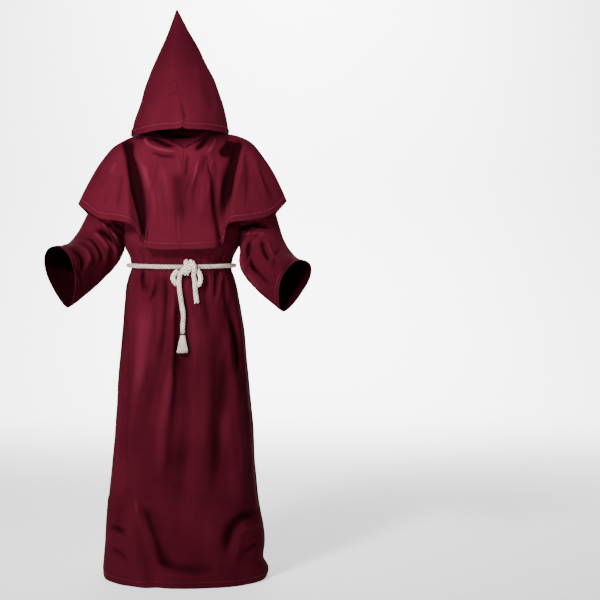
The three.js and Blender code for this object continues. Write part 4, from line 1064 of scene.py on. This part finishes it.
def hood(side):
    corner = np.linspace(0, HOOD_CORNER, 34)[:-1]
    q = spread(0, 1, 96)
    angle = np.concatenate([corner, lerp(HOOD_CORNER, 180, q)])[None, :]
    q = np.concatenate([np.full(len(corner), np.nan), q])[None, :]
    rise = (np.linspace(0, 1, 100) ** 0.9)[:, None]
    brim_z = look_up(BRIM, "a", "z", angle)
    if side < 0:
        brim_z = brim_z - CORNER_DROP * np.exp(-(((angle - HOOD_CORNER) / CORNER_WIDE) ** 2))
    z = lerp(HOOD["z"][0], brim_z, rise)
    shell = hood_shell(side, angle + 0 * z, z)
    shell[0] = [HOOD["ridge"][0], (HOOD["front"][0] + HOOD["back"][0]) / 2, HOOD["z"][0]]
    t = np.linspace(0, 1, 26)[1:, None]
    roll = hood_roll(side, angle + 0 * t, np.nan_to_num(q) + 0 * t, t + 0 * q)
    roll[:, np.isnan(q[0])] = np.nan
    points = np.concatenate([shell, roll])
    row = np.arange(len(points))[:, None]
    calm = ease(0, 6, row) * ease(len(points) - 1, len(points) - 5, row)
    calm = calm * ease(-1, 3, np.arange(points.shape[1]))[None, :]
    down = reach_along(points, 0)
    brim = (down[99][None, :] - down) / 1000 + np.where(np.isnan(q), 0, FAR)
    seam = np.where(np.isnan(q), FAR, (down.max(axis=0) - down) / 1000)
    cloth_piece("hood_left" if side < 0 else "hood_right", points, HOOD_AXIS, HOOD_CREASES,
                calm=calm, sewn=("left", "right", seam), hems=(np.where(brim < 0, FAR, brim),))


tunic(False)
tunic(True)
sleeve(-1)
sleeve(1)
front_q = spread(0, CAPE_SEAM_Q, 92, 0.35)
back_q = spread(CAPE_SEAM_Q, 1, 56, 0.2)
cape("cape_front_left", [(-1, q) for q in front_q[::-1]])
cape("cape_front_right", [(1, q) for q in front_q])
cape("cape_back", [(1, q) for q in back_q] + [(-1, q) for q in back_q[::-1][1:]])
hood(-1)
hood(1)


# Rope

ROPE = 14.0
ROPE_CLEAR = 0.7


def front_depth(x, z):
    """Depth of the skirt's front at a place across it."""
    low, high = -88.0, 88.0
    for _ in range(30):
        mid = (low + high) / 2
        if body_point(mid, z)[0] < x:
            low = mid
        else:
            high = mid
    return float(body_point(low, z)[1])


def smooth_path(points, steps):
    """Evenly spaced points on a smooth line through the points given."""
    p = np.asarray(points, float)
    p = np.concatenate([[2 * p[0] - p[1]], p, [2 * p[-1] - p[-2]]])
    knot = np.concatenate([[0], np.cumsum(np.sqrt(np.linalg.norm(np.diff(p, axis=0), axis=1)))])

    def mix(a, b, ta, tb, t):
        return ((tb - t) * a + (t - ta) * b) / (tb - ta)

    line = []
    for k in range(1, len(p) - 2):
        t0, t1, t2, t3 = knot[k - 1:k + 3]
        for t in np.linspace(t1, t2, 24):
            a = mix(p[k - 1], p[k], t0, t1, t)
            b = mix(p[k], p[k + 1], t1, t2, t)
            c = mix(p[k + 1], p[k + 2], t2, t3, t)
            line.append(mix(mix(a, b, t0, t2, t), mix(b, c, t1, t3, t), t1, t2, t))
    line = np.array(line)
    far = np.concatenate([[0], np.cumsum(np.linalg.norm(np.diff(line, axis=0), axis=1))])
    at = np.linspace(0, far[-1], steps + 1)
    return np.stack([np.interp(at, far, line[:, k]) for k in range(3)], axis=1)


def tail_path(rows, steps):
    return smooth_path([(x, front_depth(x, z) - out, z) for x, out, z in zip(*rows.values())], steps)


def inputs_of(tree, sockets):
    """Named inputs of a geometry tree; gives the values by name."""
    for name, kind in sockets:
        tree.interface.new_socket(name, in_out="INPUT", socket_type="NodeSocket" + kind)
    tree.interface.new_socket("Made", in_out="OUTPUT", socket_type="NodeSocketGeometry")
    return Graph(tree), Node(Graph(tree), tree.nodes.new("NodeGroupInput"))


def end_tree(g, geometry, look):
    real = g.node("GeometryNodeRealizeInstances", values={"Geometry": geometry})[0]
    dressed = g.node("GeometryNodeSetMaterial", values={"Geometry": real, "Material": look})[0]
    g.node("NodeGroupOutput", values={"Made": dressed})
    return g.tree


def rope_tree():
    """Strands that turn round a path, each a round tube; the path's swell widens them."""
    g, given = inputs_of(bpy.data.node_groups.new("twisted rope", "GeometryNodeTree"), [
        ("Path", "Geometry"), ("Strands", "Int"), ("Strand Radius", "Float"), ("Lay Radius", "Float"),
        ("Lay Length", "Float"), ("Step", "Float"), ("Sides", "Int"), ("Seed", "Int"), ("Look", "Material")])
    curve = g.node("GeometryNodeMeshToCurve", values={"Mesh": given["Path"]})[0]
    curve = g.node("GeometryNodeResampleCurve", {"mode": "LENGTH"},
                   {"Curve": curve, "Length": given["Step"]})[0]

    def store(geometry, name, value, kind="FLOAT"):
        return g.node("GeometryNodeStoreNamedAttribute", {"data_type": kind, "domain": "POINT"},
                      {"Geometry": geometry, "Name": name, "Value": value})[0]

    def stored(name, kind="FLOAT"):
        return g.node("GeometryNodeInputNamedAttribute", {"data_type": kind}, {"Name": name})[0]

    curve = store(curve, "along", g.node("GeometryNodeSplineParameter")["Length"])
    for name, source in {"core": "Position", "ahead": "Tangent", "beside": "Normal"}.items():
        curve = store(curve, name, g.node("GeometryNodeInput" + source)[0], "FLOAT_VECTOR")
    copies = g.node("GeometryNodeDuplicateElements", {"domain": "SPLINE"},
                    {0: curve, "Amount": given["Strands"]})
    ahead, beside = stored("ahead", "FLOAT_VECTOR"), stored("beside", "FLOAT_VECTOR")
    along, swell = stored("along"), stored("swell")
    turn = (copies[1] / given["Strands"] + along / given["Lay Length"]) * TAU
    up = g.vector("CROSS_PRODUCT", ahead, beside)
    loose = g.node("ShaderNodeTexNoise", {"noise_dimensions": "4D"}, {
        "Vector": g.node("GeometryNodeInputPosition")[0], "Scale": 60.0,
        "W": given["Seed"] + copies[1] * 7.0})[0]
    out = given["Lay Radius"] * swell * (0.86 + loose * 0.28)
    offset = g.vector("ADD", g.vector("SCALE", beside, scale=g.maths("COSINE", turn) * out),
                      g.vector("SCALE", up, scale=g.sine(turn) * out))
    laid = g.node("GeometryNodeSetPosition", values={"Geometry": copies[0], "Offset": offset})[0]
    laid = g.node("GeometryNodeSetCurveRadius", values={"Curve": laid, "Radius": swell})[0]
    ring = g.node("GeometryNodeCurvePrimitiveCircle", values={
        "Resolution": given["Sides"], "Radius": given["Strand Radius"]})[0]
    ring = store(ring, "around", g.node("GeometryNodeSplineParameter")["Factor"])
    tube = g.node("GeometryNodeCurveToMesh", values={
        "Curve": laid, "Profile Curve": ring, "Fill Caps": True})[0]
    tube = g.node("GeometryNodeSetShadeSmooth", values={"Geometry": tube, "Shade Smooth": True})[0]
    return end_tree(g, tube, given["Look"])


def stitch_tree():
    """Short threads laid end to end along a path."""
    g, given = inputs_of(bpy.data.node_groups.new("stitches", "GeometryNodeTree"), [
        ("Path", "Geometry"), ("Pitch", "Float"), ("Length", "Float"), ("Thread", "Float"), ("Seed", "Int"),
        ("Look", "Material")])
    curve = g.node("GeometryNodeMeshToCurve", values={"Mesh": given["Path"]})[0]
    points = g.node("GeometryNodeCurveToPoints", {"mode": "LENGTH"}, {"Curve": curve, "Length": given["Pitch"]})
    thread = g.node("GeometryNodeMeshCylinder", values={
        "Vertices": 5, "Radius": given["Thread"], "Depth": given["Length"]})[0]
    even = g.node("FunctionNodeRandomValue", {"data_type": "FLOAT"}, {2: 0.8, 3: 1.1, "Seed": given["Seed"]})[1]
    laid = g.node("GeometryNodeInstanceOnPoints", values={
        "Points": points[0], "Instance": thread, "Rotation": points["Rotation"], "Scale": even})[0]
    return end_tree(g, laid, given["Look"])


def grown(name, paths, tree, values, swells=None, closed=False):
    """The plain mesh that a tree makes along one or more paths, in millimetres."""
    corners, edges, widths = [], [], []
    for k, path in enumerate(paths):
        first = len(corners)
        corners += (np.asarray(path) / 1000).tolist()
        edges += [(first + i, first + i + 1) for i in range(len(path) - 1)]
        if closed:
            edges.append((first + len(path) - 1, first))
        widths += list(swells[k]) if swells is not None else [1.0] * len(path)
    mesh = bpy.data.meshes.new(name + " path")
    mesh.from_pydata(corners, edges, [])
    guide = bpy.data.objects.new(name + " path", mesh)
    bpy.context.collection.objects.link(guide)
    mark(guide, "swell", widths)
    modifier = guide.modifiers.new("grow", "NODES")
    modifier.node_group = tree
    for item in tree.interface.items_tree:
        if item.in_out == "INPUT" and item.name in values:
            modifier[item.identifier] = values[item.name]
    found = guide.evaluated_get(bpy.context.evaluated_depsgraph_get())
    made = bpy.data.objects.new(plain(name), bpy.data.meshes.new_from_object(found))
    bpy.context.collection.objects.link(made)
    guide.modifiers.remove(modifier)
    bpy.data.objects.remove(guide)
    made.data.name = plain(name)
    return made


ROPE_TREE, STITCH_TREE = rope_tree(), stitch_tree()
STRAND, LAY, LAY_LENGTH = 3.5, 4.0, 30.0


def rope(name, paths, swells=None, closed=False, lay_length=LAY_LENGTH, size=1.0, seed=1):
    made = grown(name, paths, ROPE_TREE, {
        "Strands": 3, "Strand Radius": STRAND * size / 1000, "Lay Radius": LAY * size / 1000,
        "Lay Length": lay_length / 1000, "Step": 0.0024, "Sides": 10, "Seed": seed, "Look": ROPE_LOOK},
        swells, closed)
    return seat(made, "rope", name)


LONG_TAIL = table("x out z", """
2 14.4 -409
-7 16.5 -428
-8.5 13 -456
-4.6 10 -489
-0.3 10 -519
4.3 11 -549
2.4 10 -581
2.4 11 -603
""")
SHORT_TAIL = table("x out z", """
35 21 -422.9
38.5 15 -441
40 11 -462
42 9 -484
45.5 9 -509
""")
LOOPS = {
    "rope_loop_left": [(-12, -137, -412), (-21, -138, -419), (-28, -139, -431), (-24, -140, -444),
                       (-15, -140, -454)],
    "rope_loop_right": [(46, -138, -408), (53, -139, -419), (57, -140, -434), (54, -143, -449),
                        (48, -143, -458)],
}
KNOT_TURNS = [
    [(12, -138, -381), (13, -146, -391), (15, -147, -405), (14, -141, -424)],
    [(24, -140, -384), (33, -146, -388), (37, -147, -401), (37, -146, -416), (35.5, -143, -428)],
    [(30, -141, -394), (20, -148, -399), (9, -147, -404), (3, -143, -412), (0, -139, -421)],
    [(20, -141, -384), (28, -146, -392), (25, -146, -405), (18, -140, -412)],
]


def length_of(path):
    return float(np.linalg.norm(np.diff(path, axis=0), axis=1).sum())


# Waist
turn = np.linspace(-180, 180, 241)[:-1]
level = BELT_Z + BELT_RISE * np.sin(np.radians(turn)) ** 2
ring = body_point(turn, level)
beside = body_point(turn + 0.5, level) - ring
ring = ring + unit(np.cross(beside, [0, 0, 1])) * (ROPE / 2 + ROPE_CLEAR)
round_waist = length_of(np.concatenate([ring, ring[:1]]))
whole_lay = round_waist / round(round_waist / LAY_LENGTH)
rope("rope_waist", [ring], closed=True, lay_length=whole_lay, size=0.94)

# Knot and loops, laid a little tighter
KNOT_LAY = 28.0
rope("rope_knot", [smooth_path(rows, 16) for rows in KNOT_TURNS], lay_length=KNOT_LAY, seed=5)
for name, rows in LOOPS.items():
    rope(name, [smooth_path(rows, 16)], size=1.04, lay_length=KNOT_LAY, seed=9)

# Tails: few points tell the cord's path, many make its strands; a knob and a tight end on the long one
TAIL_STEPS = 60
long_path, short_path = tail_path(LONG_TAIL, 14), tail_path(SHORT_TAIL, 8)
part = np.linspace(0, 1, TAIL_STEPS + 1)
long_swell = 1 + 0.2 * np.exp(-(((part - 0.62) / 0.03) ** 2)) - 0.1 * ease(0.9, 1, part)
short_swell = 1 + 0.16 * ease(0.6, 0.95, part)
long_tail = rope("rope_tail_long", [tail_path(LONG_TAIL, TAIL_STEPS)], swells=[long_swell], seed=2)
short_tail = rope("rope_tail_short", [tail_path(SHORT_TAIL, TAIL_STEPS)], swells=[short_swell], seed=3)

# Frayed end of the long tail: length, lean to the front, flatness, strands, radius at its head and foot
TASSEL_LENGTH, TASSEL_LEAN, TASSEL_FLAT = 46, 15, 0.5
TASSEL_STRANDS, TASSEL_HEAD, TASSEL_FOOT = 170, 6.2, 17
head = long_path[-1] - [0, 1, ROPE * 0.225 + 1.2]
frays = []
for k in range(TASSEL_STRANDS):
    share = math.sqrt((k + 0.5) / TASSEL_STRANDS)
    a = TAU * UNEVEN * k
    long = TASSEL_LENGTH * (0.86 + 0.2 * uneven(k, 3.3)) + 4
    line = []
    for t in np.linspace(0, 1, 9):
        out = lerp(TASSEL_HEAD, TASSEL_FOOT, t**0.9) * share + 0.9 * math.sin(9 * t + k) * t
        line.append(head + [out * math.cos(a) - 1.5 * t + 0.8 * math.sin(5 * t + 2.1 * k) * t,
                            out * math.sin(a) * lerp(1, TASSEL_FLAT, t) - TASSEL_LEAN * t, -1 - long * t])
    frays.append(line)
BINDING_WIDE, BINDING_HIGH, BINDING_TURNS = 7.6, 6, 5  # the yarn wound round its head
round_head = np.linspace(0, BINDING_TURNS * TAU, 90)
binding = [head + [BINDING_WIDE * math.cos(a), BINDING_WIDE * math.sin(a),
                   -1.5 - BINDING_HIGH * a / round_head[-1]] for a in round_head]
tassel = seat(grown("rope_tassel", frays + [binding], ROPE_TREE, {
    "Strands": 1, "Strand Radius": 0.0008, "Lay Radius": 0.0, "Lay Length": 1.0, "Step": 0.005, "Sides": 4,
    "Seed": 4, "Look": FRAY_LOOK}), "rope", "rope_tassel")


# Stitches of the hems, just proud of the cloth
STITCH_PROUD = 0.1
for seed, name in enumerate(built, 11):
    points, normals, hem = (built[name][kept] for kept in ("points", "normals", "hem"))
    line = []
    for j in range(hem.shape[1]):
        past = hem[:, j] - HEM
        found = np.where(past[:-1] * past[1:] <= 0)[0]
        if len(found):
            i = found[-1]
            share = past[i] / (past[i] - past[i + 1])
            line.append(lerp(points[i, j], points[i + 1, j], share) + normals[i, j] * STITCH_PROUD)
    stitches = grown(name + "_stitches", [line], STITCH_TREE, {
        "Pitch": 0.0042, "Length": 0.0031, "Thread": 0.00035, "Seed": seed, "Look": THREAD_LOOK},
        closed=name.startswith("sleeve"))
    smooth(stitches)
    seat(stitches, "cloth")

# Studio: pale floor and soft light, the main light from the upper left

BACKDROP_Y, BACKDROP_CURVE, BACKDROP_TOP = 6.2, 1.6, 8.0
STAGE_HALF, STAGE_FRONT = 12.0, -8.0
arc = np.linspace(0, math.pi / 2, 13)
sweep = [(STAGE_FRONT, FLOOR_Z), *zip(BACKDROP_Y - BACKDROP_CURVE + BACKDROP_CURVE * np.sin(arc),
                                      FLOOR_Z + BACKDROP_CURVE * (1 - np.cos(arc))), (BACKDROP_Y, BACKDROP_TOP)]
floor = object_of("studio_paper", [(x, y, z) for y, z in sweep for x in (-STAGE_HALF, STAGE_HALF)],
                  [(2 * k, 2 * k + 1, 2 * k + 3, 2 * k + 2) for k in range(len(sweep) - 1)])
smooth(floor)
paper = plain_material("studio paper", (0.86, 0.86, 0.86, 1), 0.85)
glow = paper.node_tree.nodes["Principled BSDF"].inputs
glow["Emission Color"].default_value, glow["Emission Strength"].default_value = (1, 1, 1, 1), 0.8
floor.data.materials.append(paper)


def light(name, size, power_w, beam, place, aim):
    """A round soft light; beam is the angle in degrees that it is kept to."""
    lamp = bpy.data.lights.new(name, "AREA")
    lamp.shape, lamp.size, lamp.energy, lamp.spread = "DISK", size, power_w, math.radians(beam)
    made = bpy.data.objects.new(name, lamp)
    made.location = place
    bpy.context.collection.objects.link(made)
    way = np.array(aim, float) - np.array(place, float)
    flat = math.hypot(way[0], way[1])
    made.rotation_euler = (math.pi / 2 + math.atan2(way[2], flat), 0, math.atan2(way[1], way[0]) - math.pi / 2)


light("main_light", 0.8, 36, 50, (-1.9, -3.2, 1.5), (-0.05, 0, -0.3))
light("fill_light", 1.2, 5, 24, (2.2, -3.0, 1.4), (0.05, 0, 0.3))
light("low_light", 0.8, 6, 44, (-1.8, -3.2, -0.4), (-0.4, 0, -0.6))
light("neck_light", 0.5, 2.2, 16, (-0.8, -3.4, -0.35), (0, 0, -0.02))
light("paper_light", 3.0, 650, 90, (0.8, 3.2, 4.4), (0.8, 6.2, 0))
world = bpy.data.worlds.new("studio")
bpy.context.scene.world = world
world.use_nodes = True
sky = world.node_tree.nodes["Background"].inputs
sky["Color"].default_value, sky["Strength"].default_value = (1, 1, 1, 1), 0.12
